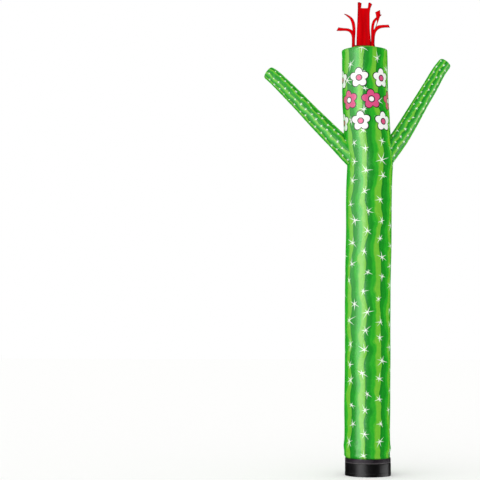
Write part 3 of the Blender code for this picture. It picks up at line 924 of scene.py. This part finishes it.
tape_threads = []
for side, y in (("front", -1.0), ("back", 1.0)):
    out = np.tile((0.0, y, 0.0), (TAPE_STEPS + 1, 1))
    line = np.concatenate([BASE_X + tape_x, BASE_Y + 0 * tape_x, tape_foot + TAPE_STITCHES_UP], axis=1)
    line += out * TAPE_STITCHES_OUT
    tape_threads.append(stitches("tape_stitches_" + side, line, out, **FINE_STITCHES))
print("hair:", len(ribbons), "ribbons in one tape with", len(tape_threads), "rows of stitches")

# %% [markdown]
# ## Colours and nodes
# Colours are noted as sRGB hex values, as a dyer or printer would give them, and Blender's sockets take
# linear light. One function turns the one into the other. One more function adds a node, sets its options
# and links it, so that a material below reads from top to bottom like a recipe.

# %% One function for colours, one for nodes
def colour(hex_value):
    """The linear colour of an sRGB hex value."""
    parts = [int(hex_value[i:i + 2], 16) / 255 for i in (1, 3, 5)]
    return tuple(p / 12.92 if p <= 0.04045 else ((p + 0.055) / 1.055) ** 2.4 for p in parts) + (1.0,)


def add(tree, kind, *values, sockets=None, **settings):
    """Adds a node with its settings. Values go into its shown sockets from the top, and a value that is a
    node or one of its outputs is linked. Sockets are given by name."""
    node = tree.nodes.new("ShaderNode" + kind)
    for name, value in settings.items():
        setattr(node, name, value)
    pairs = list(zip([socket for socket in node.inputs if socket.enabled], values))
    pairs += [(node.inputs[name], value) for name, value in (sockets or {}).items()]
    for socket, value in pairs:
        if isinstance(value, bpy.types.Node):
            value = next(output for output in value.outputs if output.enabled)
        if isinstance(value, bpy.types.NodeSocket):
            tree.links.new(value, socket)
        elif value is not None:
            socket.default_value = value
    return node


print("lime in linear light:", [round(part, 3) for part in colour("#72c72b")])


# %% Helpers for materials
def new_material(name):
    """An empty material and its node tree."""
    material = bpy.data.materials.new(name)
    material.use_nodes = True
    material.node_tree.nodes.clear()
    return material, material.node_tree


def cloudy(tree, place, scale, detail, span, values, roughness=0.5):
    """Soft noise, with the span of its values stretched onto two others."""
    noise = add(tree, "TexNoise", place, sockets={"Scale": scale, "Detail": detail, "Roughness": roughness})
    return add(tree, "MapRange", noise, *span, *values)


def relief(tree, *layers):
    """A bump from layers of a pattern and its height in metres."""
    total = 0.0
    for pattern, height in layers:
        total = add(tree, "Math", pattern, height, total, operation="MULTIPLY_ADD")
    return add(tree, "Bump", sockets={"Height": total, "Strength": 1.0, "Distance": 1.0})


def dress(pieces, material):
    """Puts a material on some pieces."""
    for piece in pieces:
        piece.data.materials.append(material)


print("materials of the solids:", len(bpy.data.materials))

# %% [markdown]
# ## The printed pattern
# The nylon is white and is printed by heat, before it is cut, with the look of a ribbed desert plant:
# upright ribs, each with a dark side, a green middle and a lime side, and stars of pale spines spaced along
# each rib's edge. Painting an image would need a texture file. The ribs repeat, so they can be worked out
# instead: the flat place across the cloth is counted in ribs, slow noise makes the count wander, and the
# fraction that is left picks the colour. Between two main inks lies a narrow band of a middle one, which
# makes the flat print look rounded. All bands have hard edges, so the colour ramp is steep at each change.

# %% Draw the ribs
DEEP = "#008a16"        # where a rib's dark side starts
DARK = "#009714"
MIDDLE = "#10a51a"
GREEN = "#22b41a"
PALE = "#4abf22"
LIME = "#72c72b"
DEEP_ENDS = 0.10        # as a share of a rib, like the two below
HALF_TONE = 0.07        # width of the narrow bands MIDDLE and PALE
INK_BLEED = 0.012
RIB_START = 0.15        # how far left of the flat cloth's middle a rib starts, in ribs
WANDER = 0.85           # how far slow noise moves the ribs from side to side, in ribs
EDGE_WAVE = 1.5         # how much noise moves the bands in a rib, most in the rib's middle


def ribs(tree, place, rib, dark_ends, green_ends):
    """The printed ribs' colour, and the place counted in ribs."""
    counted = add(tree, "VectorMath", place, (1 / rib, 1 / rib, 0), operation="MULTIPLY")
    wander = add(tree, "TexNoise", counted, sockets={"Scale": 0.55, "Detail": 1.5, "Roughness": 0.45})
    shift = add(tree, "Math", wander, -0.5, operation="ADD")
    shift = add(tree, "Math", shift, WANDER, RIB_START, operation="MULTIPLY_ADD")
    split = add(tree, "SeparateXYZ", counted)
    across = add(tree, "Math", split.outputs["X"], shift, operation="ADD")
    phase = add(tree, "Math", across, operation="FRACT")
    moved = add(tree, "VectorMath", counted, (7.3, 2.1, 0), operation="ADD")
    edges = add(tree, "TexNoise", moved, sockets={"Scale": 0.8, "Detail": 2.0, "Roughness": 0.5})
    edges = add(tree, "Math", edges, -0.5, operation="ADD")
    inward = add(tree, "Math", phase, 0.5, operation="PINGPONG")
    edges = add(tree, "Math", edges, inward, operation="MULTIPLY")
    phase = add(tree, "Math", edges, EDGE_WAVE, phase, operation="MULTIPLY_ADD")
    ramp = add(tree, "ValToRGB", phase)
    stops = ramp.color_ramp.elements
    stops[0].color = colour(DEEP)
    stops[1].position = started = DEEP_ENDS
    stops[1].color = colour(DEEP)
    for ends, ink in ((dark_ends, DARK), (dark_ends + HALF_TONE, MIDDLE), (green_ends, GREEN),
                      (green_ends + HALF_TONE, PALE), (1.0, LIME)):
        stops.new(started + INK_BLEED).color = colour(ink)
        stops.new(ends).color = colour(ink)
        started = ends
    return ramp, across, split.outputs["Y"]


print("inks of a rib:", DEEP, DARK, MIDDLE, GREEN, PALE, LIME)

# %% [markdown]
# A spine star is drawn round the nearest of a lattice of points: one column of points for each rib edge.
# The Voronoi texture finds that point and gives it a chance colour, which turns the star and sets its size
# and its rays. Round the point, the turn is cut into six sectors with one ray each. A ray is as wide as its
# sector's chance length still leaves: full at the middle, nothing at its tip.

# %% Find the nearest star
COLUMN_SHIFT = 0.43     # from one column's stars to the next's, as a share of the way from star to star
LATTICE_CHANCE = 0.30   # how far a star may stray, as a share of the lattice's step


def nearest_star(tree, across, up, rib, pitch):
    """The way from the nearest star's middle, in metres, and that star's chance colour."""
    column = add(tree, "Math", across, operation="ROUND")
    row = add(tree, "Math", up, rib / pitch, operation="MULTIPLY")
    row = add(tree, "Math", column, COLUMN_SHIFT, row, operation="MULTIPLY_ADD")
    strayed = add(tree, "Math", across, LATTICE_CHANCE / 2, operation="ADD")
    place = add(tree, "CombineXYZ", strayed, row)
    nearest = add(tree, "TexVoronoi", place, voronoi_dimensions="2D",
                  sockets={"Scale": 1.0, "Randomness": LATTICE_CHANCE})
    away = add(tree, "VectorMath", place, nearest.outputs["Position"], operation="SUBTRACT")
    away = add(tree, "VectorMath", away, (rib, pitch, 0), operation="MULTIPLY")
    return away, add(tree, "SeparateColor", nearest.outputs["Color"]).outputs


print("a star strays up to", LATTICE_CHANCE / 2, "of a step each way")

# %% Draw its rays
RAYS = 6
SHORTEST_RAY = 0.4      # as a share of a star's reach
SMALLEST_STAR = 0.75    # times the usual reach, like the next
LARGEST_STAR = 1.20
RAY_LEAN = 0.44         # how far a ray may turn from side to side, as a share of its sector
RAY_EDGE = (-0.06, 0.12)        # where ink starts and is full at a ray's edge, as shares of its width


def spines(tree, across, up, rib, pitch, reach, ray_width):
    """A mask of the spine stars, 1 on a ray."""
    away, chance = nearest_star(tree, across, up, rib, pitch)
    out = add(tree, "VectorMath", away, operation="LENGTH").outputs["Value"]
    parts = add(tree, "SeparateXYZ", away)
    turn = add(tree, "Math", parts.outputs["Y"], parts.outputs["X"], operation="ARCTAN2")
    turn = add(tree, "Math", turn, RAYS / (2 * math.pi), chance["Red"], operation="MULTIPLY_ADD")
    ray = add(tree, "Math", turn, operation="FLOOR")
    ray = add(tree, "Math", ray, RAYS, operation="FLOORED_MODULO")
    key = add(tree, "CombineXYZ", ray, chance["Green"])
    own = add(tree, "TexWhiteNoise", key, noise_dimensions="2D")
    length = add(tree, "Math", own.outputs["Value"], (1 - SHORTEST_RAY) * reach, SHORTEST_RAY * reach,
                 operation="MULTIPLY_ADD")
    size = add(tree, "Math", chance["Blue"], LARGEST_STAR - SMALLEST_STAR, SMALLEST_STAR,
               operation="MULTIPLY_ADD")
    length = add(tree, "Math", length, size, operation="MULTIPLY")
    lean = add(tree, "SeparateColor", own.outputs["Color"]).outputs["Blue"]
    lean = add(tree, "Math", lean, RAY_LEAN, -(1 + RAY_LEAN) / 2, operation="MULTIPLY_ADD")
    beside = add(tree, "Math", turn, operation="FRACT")
    beside = add(tree, "Math", beside, lean, operation="ADD")
    beside = add(tree, "Math", beside, 2 * math.pi / RAYS, operation="MULTIPLY")
    beside = add(tree, "Math", beside, operation="SINE")
    beside = add(tree, "Math", beside, operation="ABSOLUTE")
    beside = add(tree, "Math", beside, out, operation="MULTIPLY")
    left = add(tree, "Math", out, length, operation="DIVIDE")
    left = add(tree, "Math", 1.0, left, operation="SUBTRACT")
    width = add(tree, "Math", left, ray_width, operation="MULTIPLY")
    inside = add(tree, "Math", width, beside, operation="SUBTRACT")
    return add(tree, "MapRange", inside, *(share * ray_width for share in RAY_EDGE), 0.0, 1.0)


print("a star has", RAYS, "rays")

# %% [markdown]
# ## A garland of flowers
# Round the head runs a printed garland in black, white and pink: three rows of plain flowers with five
# petals, six flowers to a turn, each row half a step on from the next. A flower is a circle whose edge
# swings in and out five times. Its black line is the same shape, grown by a few millimetres, and lies under
# it. One short table lists the rows, and a loop lays each over what is there, since it is all ink on the
# same flat cloth.

# %% Draw the garland
# Columns: height, shift in flowers, colour of the petals, colour of the heart.
GARLAND = [
    (2.725, 0.25, "#fdfdfb", "#e34b86"),
    (2.575, 0.75, "#e34b86", "#fdfdfb"),
    (2.425, 0.25, "#fdfdfb", "#e34b86"),
]
OUTLINE = "#0a0a0a"
FLOWERS = 6             # in one turn
PETALS = 5
FLOWER = 66 * MM        # from a flower's middle to a petal's tip
DIP = 0.36              # how far the edge dips between petals, as a share of that
FLOWER_TURN = 0.4       # turns the flowers of a row a little, by the row's shift
HEART = 17 * MM
LINE = 7 * MM           # width of the black lines
PRINT_EDGE = 1.0 * MM


def flower_room(tree, place, height, shift):
    """How far a place is inside the nearest flower of a row, and inside its heart."""
    split = add(tree, "SeparateXYZ", place)
    pitch = 2 * math.pi * ROUND / FLOWERS
    counted = add(tree, "Math", split.outputs["X"], 1 / pitch, shift + 0.5, operation="MULTIPLY_ADD")
    beside = add(tree, "Math", counted, operation="FRACT")
    beside = add(tree, "Math", beside, pitch, -0.5 * pitch, operation="MULTIPLY_ADD")
    above = add(tree, "Math", split.outputs["Y"], height, operation="SUBTRACT")
    out = add(tree, "CombineXYZ", beside, above)
    out = add(tree, "VectorMath", out, operation="LENGTH").outputs["Value"]
    turn = add(tree, "Math", beside, above, operation="ARCTAN2")
    turn = add(tree, "Math", turn, PETALS / 2, FLOWER_TURN * shift, operation="MULTIPLY_ADD")
    swing = add(tree, "Math", turn, operation="COSINE")
    swing = add(tree, "Math", swing, operation="ABSOLUTE")
    edge = add(tree, "Math", swing, FLOWER * DIP, FLOWER * (1 - DIP), operation="MULTIPLY_ADD")
    return [add(tree, "Math", limit, out, operation="SUBTRACT") for limit in (edge, HEART)]


def garland(tree, place, ground):
    """The garland's colours over the ground."""
    for height, shift, *inks in GARLAND:
        for room, ink in zip(flower_room(tree, place, height, shift), inks):
            for layer, grown in ((OUTLINE, LINE), (ink, 0.0)):
                mask = add(tree, "MapRange", room, -grown - PRINT_EDGE, PRINT_EDGE - grown, 0.0, 1.0)
                ground = add(tree, "Mix", mask, ground, colour(layer), data_type="RGBA")
    return ground


print("garland:", len(GARLAND), "rows of", FLOWERS, "flowers, each", round(2 * FLOWER / MM), "mm across")

# %% [markdown]
# ## The cloth of the tube
# It is ripstop nylon taffeta: a plain weave with a thicker thread every 6 mm, which stops a tear. Real
# threads lie 0.25 mm apart, far too fine to show, so the plain weave is drawn 1.5 mm apart. The ripstop
# grid keeps its real size. Nylon has an IOR of 1.53, and a woven face scatters the gloss: it is bright
# along a light but never sharp. Its fibres also glow a little at a grazing look, in the green of the ink,
# which a sheen gives. Soft creases from packing and from the air are broad bumps.

# %% The weave of ripstop nylon
NYLON_IOR = 1.53
WEAVE_DRAWN = 1.5 * MM
WEAVE_HEIGHT = 0.03 * MM
RIPSTOP = 6 * MM
RIPSTOP_THREAD = 0.5 * MM       # half the width of a thicker thread
RIPSTOP_HEIGHT = 0.06 * MM
CREASE = 0.5 * MM


def ripstop_bump(tree, place, crease=CREASE):
    """The bump of the weave, its ripstop threads and soft creases."""
    weave = add(tree, "TexChecker", place, sockets={"Scale": 1 / WEAVE_DRAWN}).outputs["Fac"]
    split = add(tree, "SeparateXYZ", place)
    grid = []
    for direction in ("X", "Y"):
        thread = add(tree, "Math", split.outputs[direction], RIPSTOP / 2, operation="PINGPONG")
        grid.append(add(tree, "MapRange", thread, 0.0, RIPSTOP_THREAD, 1.0, 0.0))
    grid = add(tree, "Math", *grid, operation="MAXIMUM")
    soft = add(tree, "TexNoise", place, sockets={"Scale": 11.0, "Detail": 3.0, "Roughness": 0.55})
    return relief(tree, (weave, WEAVE_HEIGHT), (grid, RIPSTOP_HEIGHT), (soft, crease))


print("plain weave drawn", WEAVE_DRAWN / MM, "mm apart, thicker threads", RIPSTOP / MM, "mm apart")

# %% The printed nylon
PAINTED_SHADE_LOW = strap_high.z        # painted shade along the strap's upper edge, where the strap shades the tube
PAINTED_SHADE_HIGH = strap_high.z + 12 * MM
SPINE_INK = "#f9fff6"
SHEEN_INK = "#38e020"
PAINTED_SHADE_INK = "#06260a"


def printed_nylon(name, rib, dark_ends, green_ends, pitch, reach, ray_width, finish, on_tube=False):
    """Printed ripstop nylon with ribs and spine stars. The tube's also has the garland and painted shade by
    the strap.
    """
    roughness, gloss, sheen = finish
    material, tree = new_material(name)
    place = add(tree, "Attribute", attribute_name="cloth").outputs["Vector"]
    ground, across, up = ribs(tree, place, rib, dark_ends, green_ends)
    mottle = cloudy(tree, place, 35.0, 3.0, (0.25, 0.75), (0.93, 1.07))
    ground = add(tree, "VectorMath", ground, sockets={"Scale": mottle}, operation="SCALE")
    stars = spines(tree, across, up, rib, pitch, reach, ray_width)
    ground = add(tree, "Mix", stars, ground, colour(SPINE_INK), data_type="RGBA")
    if on_tube:
        ground = garland(tree, place, ground)
        height = add(tree, "SeparateXYZ", place).outputs["Y"]
        # Painted shade: the cloth is drawn darker just above the strap, where the strap shades it.
        painted_shade = add(tree, "MapRange", height, PAINTED_SHADE_LOW, PAINTED_SHADE_HIGH, 1.0, 0.0)
        ground = add(tree, "Mix", painted_shade, ground, colour(PAINTED_SHADE_INK), data_type="RGBA")
    rough = cloudy(tree, place, 6.0, 2.0, (0.3, 0.7), (roughness - 0.03, roughness + 0.03))
    shader = add(tree, "BsdfPrincipled", sockets={
        "Base Color": ground, "Roughness": rough, "IOR": NYLON_IOR, "Specular IOR Level": gloss,
        "Sheen Weight": sheen, "Sheen Roughness": 0.4, "Sheen Tint": colour(SHEEN_INK),
        "Normal": ripstop_bump(tree, place)})
    add(tree, "OutputMaterial", shader)
    return material


# The painted shade along the strap lies between these heights.
print("grime from", round(PAINTED_SHADE_LOW, 3), "to", round(PAINTED_SHADE_HIGH, 3), "m")

# %% Print the tube and the arms
RIBS = 9                # in one turn
# Columns: width of a rib, where its dark side and its green middle end as shares of that, the way from star
# to star along a rib, a star's longest ray and a ray's width.
BODY_PRINT = (2 * math.pi * ROUND / RIBS, 0.33, 0.60, 138 * MM, 52 * MM, 3.5 * MM)
ARM_PRINT = (2 * math.pi * ARM_ROUND / RIBS, 0.36, 0.63, 56 * MM, 16 * MM, 2.0 * MM)
# Columns: roughness, gloss and sheen. The arms flap most, and the finish of their cloth is duller.
BODY_FINISH = (0.27, 0.5, 0.8)
ARM_FINISH = (0.42, 0.30, 0.8)

body_nylon = printed_nylon("ripstop_nylon_body_print", *BODY_PRINT, BODY_FINISH, on_tube=True)
arm_nylon = printed_nylon("ripstop_nylon_arm_print", *ARM_PRINT, ARM_FINISH)
dress([tube_cloth, cap_cloth], body_nylon)
dress(arm_cloths.values(), arm_nylon)
print("body ribs", round(BODY_PRINT[0] / MM), "mm wide, arm ribs", round(ARM_PRINT[0] / MM), "mm,",
      len(body_nylon.node_tree.nodes), "nodes")

# %% [markdown]
# ## Thread and seams
# Sewing thread here is filament polyester, IOR 1.6 and bright. Its twist is about one turn in 1 mm, and it
# is drawn much coarser, as slanting bands 4.5 mm apart. The seam rolls are the same nylon as the tube, in
# plain green.

# %% Sewing thread
TWIST_SCALE = 80.0      # of the wave texture, whose slanting bands are 0.363 m apart at a scale of 1


def sewing_thread(name, ink):
    """Twisted filament polyester sewing thread."""
    material, tree = new_material(name)
    place = add(tree, "TexCoord").outputs["Object"]
    twist = add(tree, "TexWave", place, bands_direction="DIAGONAL",
                sockets={"Scale": TWIST_SCALE, "Distortion": 1.0}).outputs["Fac"]
    darker = tuple(0.7 * part for part in colour(ink)[:3]) + (1.0,)
    shade = add(tree, "Mix", twist, colour(ink), darker, data_type="RGBA")
    bump = add(tree, "Bump", sockets={"Height": twist, "Strength": 0.4, "Distance": 0.2 * MM})
    shader = add(tree, "BsdfPrincipled", sockets={
        "Base Color": shade, "Roughness": 0.42, "IOR": 1.6, "Sheen Weight": 0.1, "Normal": bump})
    add(tree, "OutputMaterial", shader)
    return material


dress(thread_pieces, sewing_thread("polyester_thread_green", "#3fae3a"))
dress([sleeve_stitches] + strap_threads, sewing_thread("polyester_thread_black", "#2b2a2c"))
dress(tape_threads, sewing_thread("polyester_thread_red", "#9c0410"))
print("threads dressed:", len(thread_pieces + strap_threads + tape_threads) + 1, "rows")


# %% Plain nylon for the rolls and the tape
def plain_nylon(name, ink, darker, crease=CREASE, rough=0.42, gloss=0.5):
    """Dyed ripstop nylon of one colour, a little uneven."""
    material, tree = new_material(name)
    place = add(tree, "Attribute", attribute_name="cloth").outputs["Vector"]
    cloud = cloudy(tree, place, 24.0, 3.0, (0.3, 0.7), (0.0, 1.0))
    shade = add(tree, "Mix", cloud, colour(ink), colour(darker), data_type="RGBA")
    shader = add(tree, "BsdfPrincipled", sockets={
        "Base Color": shade, "Roughness": rough, "IOR": NYLON_IOR, "Specular IOR Level": gloss,
        "Normal": ripstop_bump(tree, place, crease)})
    add(tree, "OutputMaterial", shader)
    return material


dress(seam_pieces, plain_nylon("ripstop_nylon_green", "#2fae2b", "#239a26"))
dress([hair_tape], plain_nylon("folded_nylon_dark_red", "#8a0210", "#74020c", crease=0.2 * MM, rough=0.4,
                               gloss=0.08))
print("seam rolls dressed:", len(seam_pieces))

# %% [markdown]
# ## Black coated cloth and webbing
# The sleeve is polyester cloth with a thin polyurethane coat, black all through. The coat, IOR 1.5, fills
# the weave, so it has a soft, almost satin gloss, and it turns a little grey where it rubs on the ground.
# Its yarns are 0.5 mm apart and are drawn 1.5 mm apart. The webbing is woven polyester: fine ribs run
# across it, 2 mm apart as on real webbing, and it is duller than the sleeve and a touch violet, as black
# dye can be. A pale line along its lower edge is a painted highlight, where the edge catches the light.

# %% The sleeve's cloth
YARNS_DRAWN = 1.5 * MM
SCUFFED = 9 * MM        # height of the worn foot


def coated_cloth(name):
    """Black polyester cloth with a polyurethane coat, worn grey along its foot."""
    material, tree = new_material(name)
    place = add(tree, "Attribute", attribute_name="cloth").outputs["Vector"]
    yarns = add(tree, "TexChecker", place, sockets={"Scale": 1 / YARNS_DRAWN}).outputs["Fac"]
    grain = add(tree, "TexNoise", place, sockets={"Scale": 60.0, "Detail": 4.0})
    up = add(tree, "SeparateXYZ", place).outputs["Y"]
    foot = add(tree, "MapRange", up, 0.0, SCUFFED, 0.55, 0.0)
    scuffs = cloudy(tree, place, 140.0, 5.0, (0.5, 0.75), (0.0, 1.0), roughness=0.7)
    worn = add(tree, "Math", foot, scuffs, operation="MULTIPLY")
    shade = add(tree, "Mix", worn, colour("#0b0a0b"), colour("#3a3836"), data_type="RGBA")
    rough = add(tree, "MapRange", grain, 0.3, 0.7, 0.28, 0.36)
    shader = add(tree, "BsdfPrincipled", sockets={
        "Base Color": shade, "Roughness": rough, "IOR": 1.5, "Specular IOR Level": 0.23,
        "Normal": relief(tree, (yarns, 0.05 * MM), (grain, 0.07 * MM))})
    add(tree, "OutputMaterial", shader)
    return material


dress([sleeve_cloth], coated_cloth("coated_polyester_black"))
print("sleeve dressed in", sleeve_cloth.data.materials[0].name)

# %% The strap's webbing
WEBBING_RIB = 2 * MM
WAVE_PERIOD = 0.314     # of Blender's wave texture along X at a scale of 1, in metres


def webbing(name):
    """Black woven polyester webbing with ribs across it."""
    material, tree = new_material(name)
    place = add(tree, "Attribute", attribute_name="cloth").outputs["Vector"]
    cross_ribs = add(tree, "TexWave", place, bands_direction="X", sockets={
        "Scale": WAVE_PERIOD / WEBBING_RIB, "Distortion": 0.4, "Detail": 1.0}).outputs["Fac"]
    fibres = add(tree, "TexNoise", place, sockets={"Scale": 400.0, "Detail": 3.0})
    shade = add(tree, "Mix", cross_ribs, colour("#130b13"), colour("#251a26"), data_type="RGBA")
    up = add(tree, "SeparateXYZ", place).outputs["Y"]
    # Painted highlight: a pale line along the strap's lower edge, where the edge catches the light.
    painted_edge_highlight = add(tree, "MapRange", up, strap_low.z + 2 * MM, strap_low.z + 6 * MM, 1.0, 0.0)
    shade = add(tree, "Mix", painted_edge_highlight, shade, colour("#5e595b"), data_type="RGBA")
    shader = add(tree, "BsdfPrincipled", sockets={
        "Base Color": shade, "Roughness": 0.38, "IOR": 1.55, "Specular IOR Level": 0.18,
        "Sheen Weight": 0.03, "Normal": relief(tree, (cross_ribs, 0.18 * MM), (fibres, 0.08 * MM))})
    add(tree, "OutputMaterial", shader)
    return material


dress([strap], webbing("woven_webbing_black"))
print("strap dressed in", strap.data.materials[0].name)

# %% [markdown]
# ## Red nylon for the hair
# The ribbons are cut from plain light nylon, dyed red in the piece. Soft light and dark streaks run along
# it as painted shade and highlight of its folds: slow noise, stretched along the ribbon. A hot knife cuts
# and seals the edges, and it leaves a thin dark line there.
# The distance from the cut edge was stored with the flat place, so a short ramp can draw that line. This
# cloth is matt.

# %% The hair
SEALED_EDGE = 5 * MM    # the dark line, drawn wider than its real 1 mm so that it shows


def streaked_nylon(name, ink, deeper, sealed):
    """Red nylon with a dark sealed edge, and streaks along it that paint the shade and highlight of its
    folds.
    """
    material, tree = new_material(name)
    place = add(tree, "Attribute", attribute_name="cloth").outputs["Vector"]
    stretched = add(tree, "VectorMath", place, (34.0, 3.0, 0.0), operation="MULTIPLY")
    # Painted shade and highlight: slow streaks along the ribbon stand in for the light and shade of its
    # folds.
    painted_fold_streaks = cloudy(tree, stretched, 1.0, 1.5, (0.32, 0.68), (0.0, 1.0), roughness=0.4)
    shade = add(tree, "Mix", painted_fold_streaks, colour(ink), colour(deeper), data_type="RGBA")
    from_edge = add(tree, "SeparateXYZ", place).outputs["Z"]
    edge = add(tree, "MapRange", from_edge, 0.0, SEALED_EDGE, 1.0, 0.0)
    shade = add(tree, "Mix", edge, shade, colour(sealed), data_type="RGBA")
    shader = add(tree, "BsdfPrincipled", sockets={
        "Base Color": shade, "Roughness": 0.35, "IOR": NYLON_IOR, "Specular IOR Level": 0.008,
        "Normal": ripstop_bump(tree, place, 0.25 * MM)})
    add(tree, "OutputMaterial", shader)
    return material


dress(ribbons, streaked_nylon("piece_dyed_nylon_red", "#f2000a", "#be0008", "#5c0616"))
print("hair dressed:", len(ribbons), "ribbons")

# %% [markdown]
# ## Floor and light
# A pale floor runs far back, and the sky is plain white, so nothing stands behind the figure. The white sky
# gives almost all of the light and no hard shadow. Print shows its own colours in such light. In gloss the
# sky is dimmed to a few hundredths, since it would lie as a white haze on dark ink and black cloth. Four
# soft boxes only add gloss: a tall one from the left front, which lies as a pale band on the tube, a wide
# and weak one from the left for that edge, and two small ones from the right. Light linking keeps the low
# one of these to the black sleeve and its strap, and the high one to the right arm, so that the tube's
# right side stays dark. A weak overhead light, as wide as a cloudy sky, shades the folds.

# %% The floor
FLOOR_SIZE = 60.0

corner = FLOOR_SIZE / 2
floor_mesh = bpy.data.meshes.new("floor")
floor_mesh.from_pydata([(-corner, -corner, 0), (corner, -corner, 0), (corner, corner, 0),
                        (-corner, corner, 0)], [], [(0, 1, 2, 3)])
floor = bpy.data.objects.new("floor", floor_mesh)
bpy.context.scene.collection.objects.link(floor)
floor.visible_glossy = False
floor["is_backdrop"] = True
floor_paint, tree = new_material("matt_white_floor")
shader = add(tree, "BsdfPrincipled", sockets={
    "Base Color": colour("#fcfcfb"), "Roughness": 1.0, "Specular IOR Level": 0.0})
add(tree, "OutputMaterial", shader)
dress([floor], floor_paint)
print("floor:", FLOOR_SIZE, "m from side to side")

# %% The sky
SKY_LIGHT = 0.88
SKY_SEEN = 1.0
SKY_IN_GLOSS = 0.03

sky = bpy.data.worlds.new("white_sky")
sky.use_nodes = True
sky.node_tree.nodes.clear()
ray = add(sky.node_tree, "LightPath").outputs
strength = add(sky.node_tree, "MapRange", ray["Is Glossy Ray"], 0.0, 1.0, SKY_LIGHT, SKY_IN_GLOSS)
strength = add(sky.node_tree, "Mix", ray["Is Camera Ray"], strength, SKY_SEEN)
add(sky.node_tree, "OutputWorld", add(sky.node_tree, "Background", (1, 1, 1, 1), strength))
bpy.context.scene.world = sky
bpy.context.scene.view_settings.view_transform = "Standard"
print("sky:", SKY_LIGHT, "bright on the figure,", SKY_IN_GLOSS, "in gloss")


# %% Soft boxes and an overhead light
def soft_box(name, turn, distance, height, width, tall, bright, lit_pieces=()):
    """An area light at a turn from the front towards the right. It adds gloss alone, on the lit pieces if
    any are named. Nothing stops its light, so that a box that reaches below the floor still shows in low
    cloth."""
    light = bpy.data.lights.new(name, "AREA")
    light.use_shadow = False
    light.shape = "RECTANGLE"
    light.size, light.size_y = width, tall
    light.energy = bright * math.pi * width * tall
    box = bpy.data.objects.new(name, light)
    angle = math.radians(turn)
    box.location = on_ring(angle, height, BASE_X, distance)
    box.rotation_euler = (math.pi / 2, 0, angle)
    box.visible_camera = False
    box.visible_diffuse = False
    bpy.context.scene.collection.objects.link(box)
    if lit_pieces:
        flagged = bpy.data.collections.new("lit by " + name)
        for piece in lit_pieces:
            flagged.objects.link(piece)
        box.light_linking.receiver_collection = flagged


soft_box("left_front_soft_box", turn=-34, distance=2.8, height=1.4, width=2.0, tall=5.2, bright=4.6)
soft_box("left_soft_box", turn=-82, distance=4.0, height=2.8, width=3.8, tall=3.6, bright=1.4)
soft_box("low_right_soft_box", turn=82, distance=0.5, height=-0.05, width=0.44, tall=0.22, bright=3.1,
         lit_pieces=(sleeve_cloth, strap))
soft_box("high_right_soft_box", turn=88, distance=3.0, height=1.9, width=1.2, tall=2.0, bright=6.5,
         lit_pieces=(arm_cloths["right_arm"],))
sun = bpy.data.objects.new("overhead_light", bpy.data.lights.new("overhead_light", "SUN"))
sun.data.energy = 0.55
sun.data.angle = math.radians(70)
sun.rotation_euler = (math.radians(38), 0, math.radians(-30))
bpy.context.scene.collection.objects.link(sun)
print("lights:", ", ".join(light.name for light in bpy.data.lights))

# %% [markdown]
# ## The size at the end
# The dressed figure has to stay as large as its solids. Both boxes are printed, so that they can be set
# side by side.

# %% Write both boxes and finish
dressed_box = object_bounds()
for name, box in (("solids", cad_box), ("dressed", dressed_box)):
    print(name, [[round(place, 4) for place in corner] for corner in box])
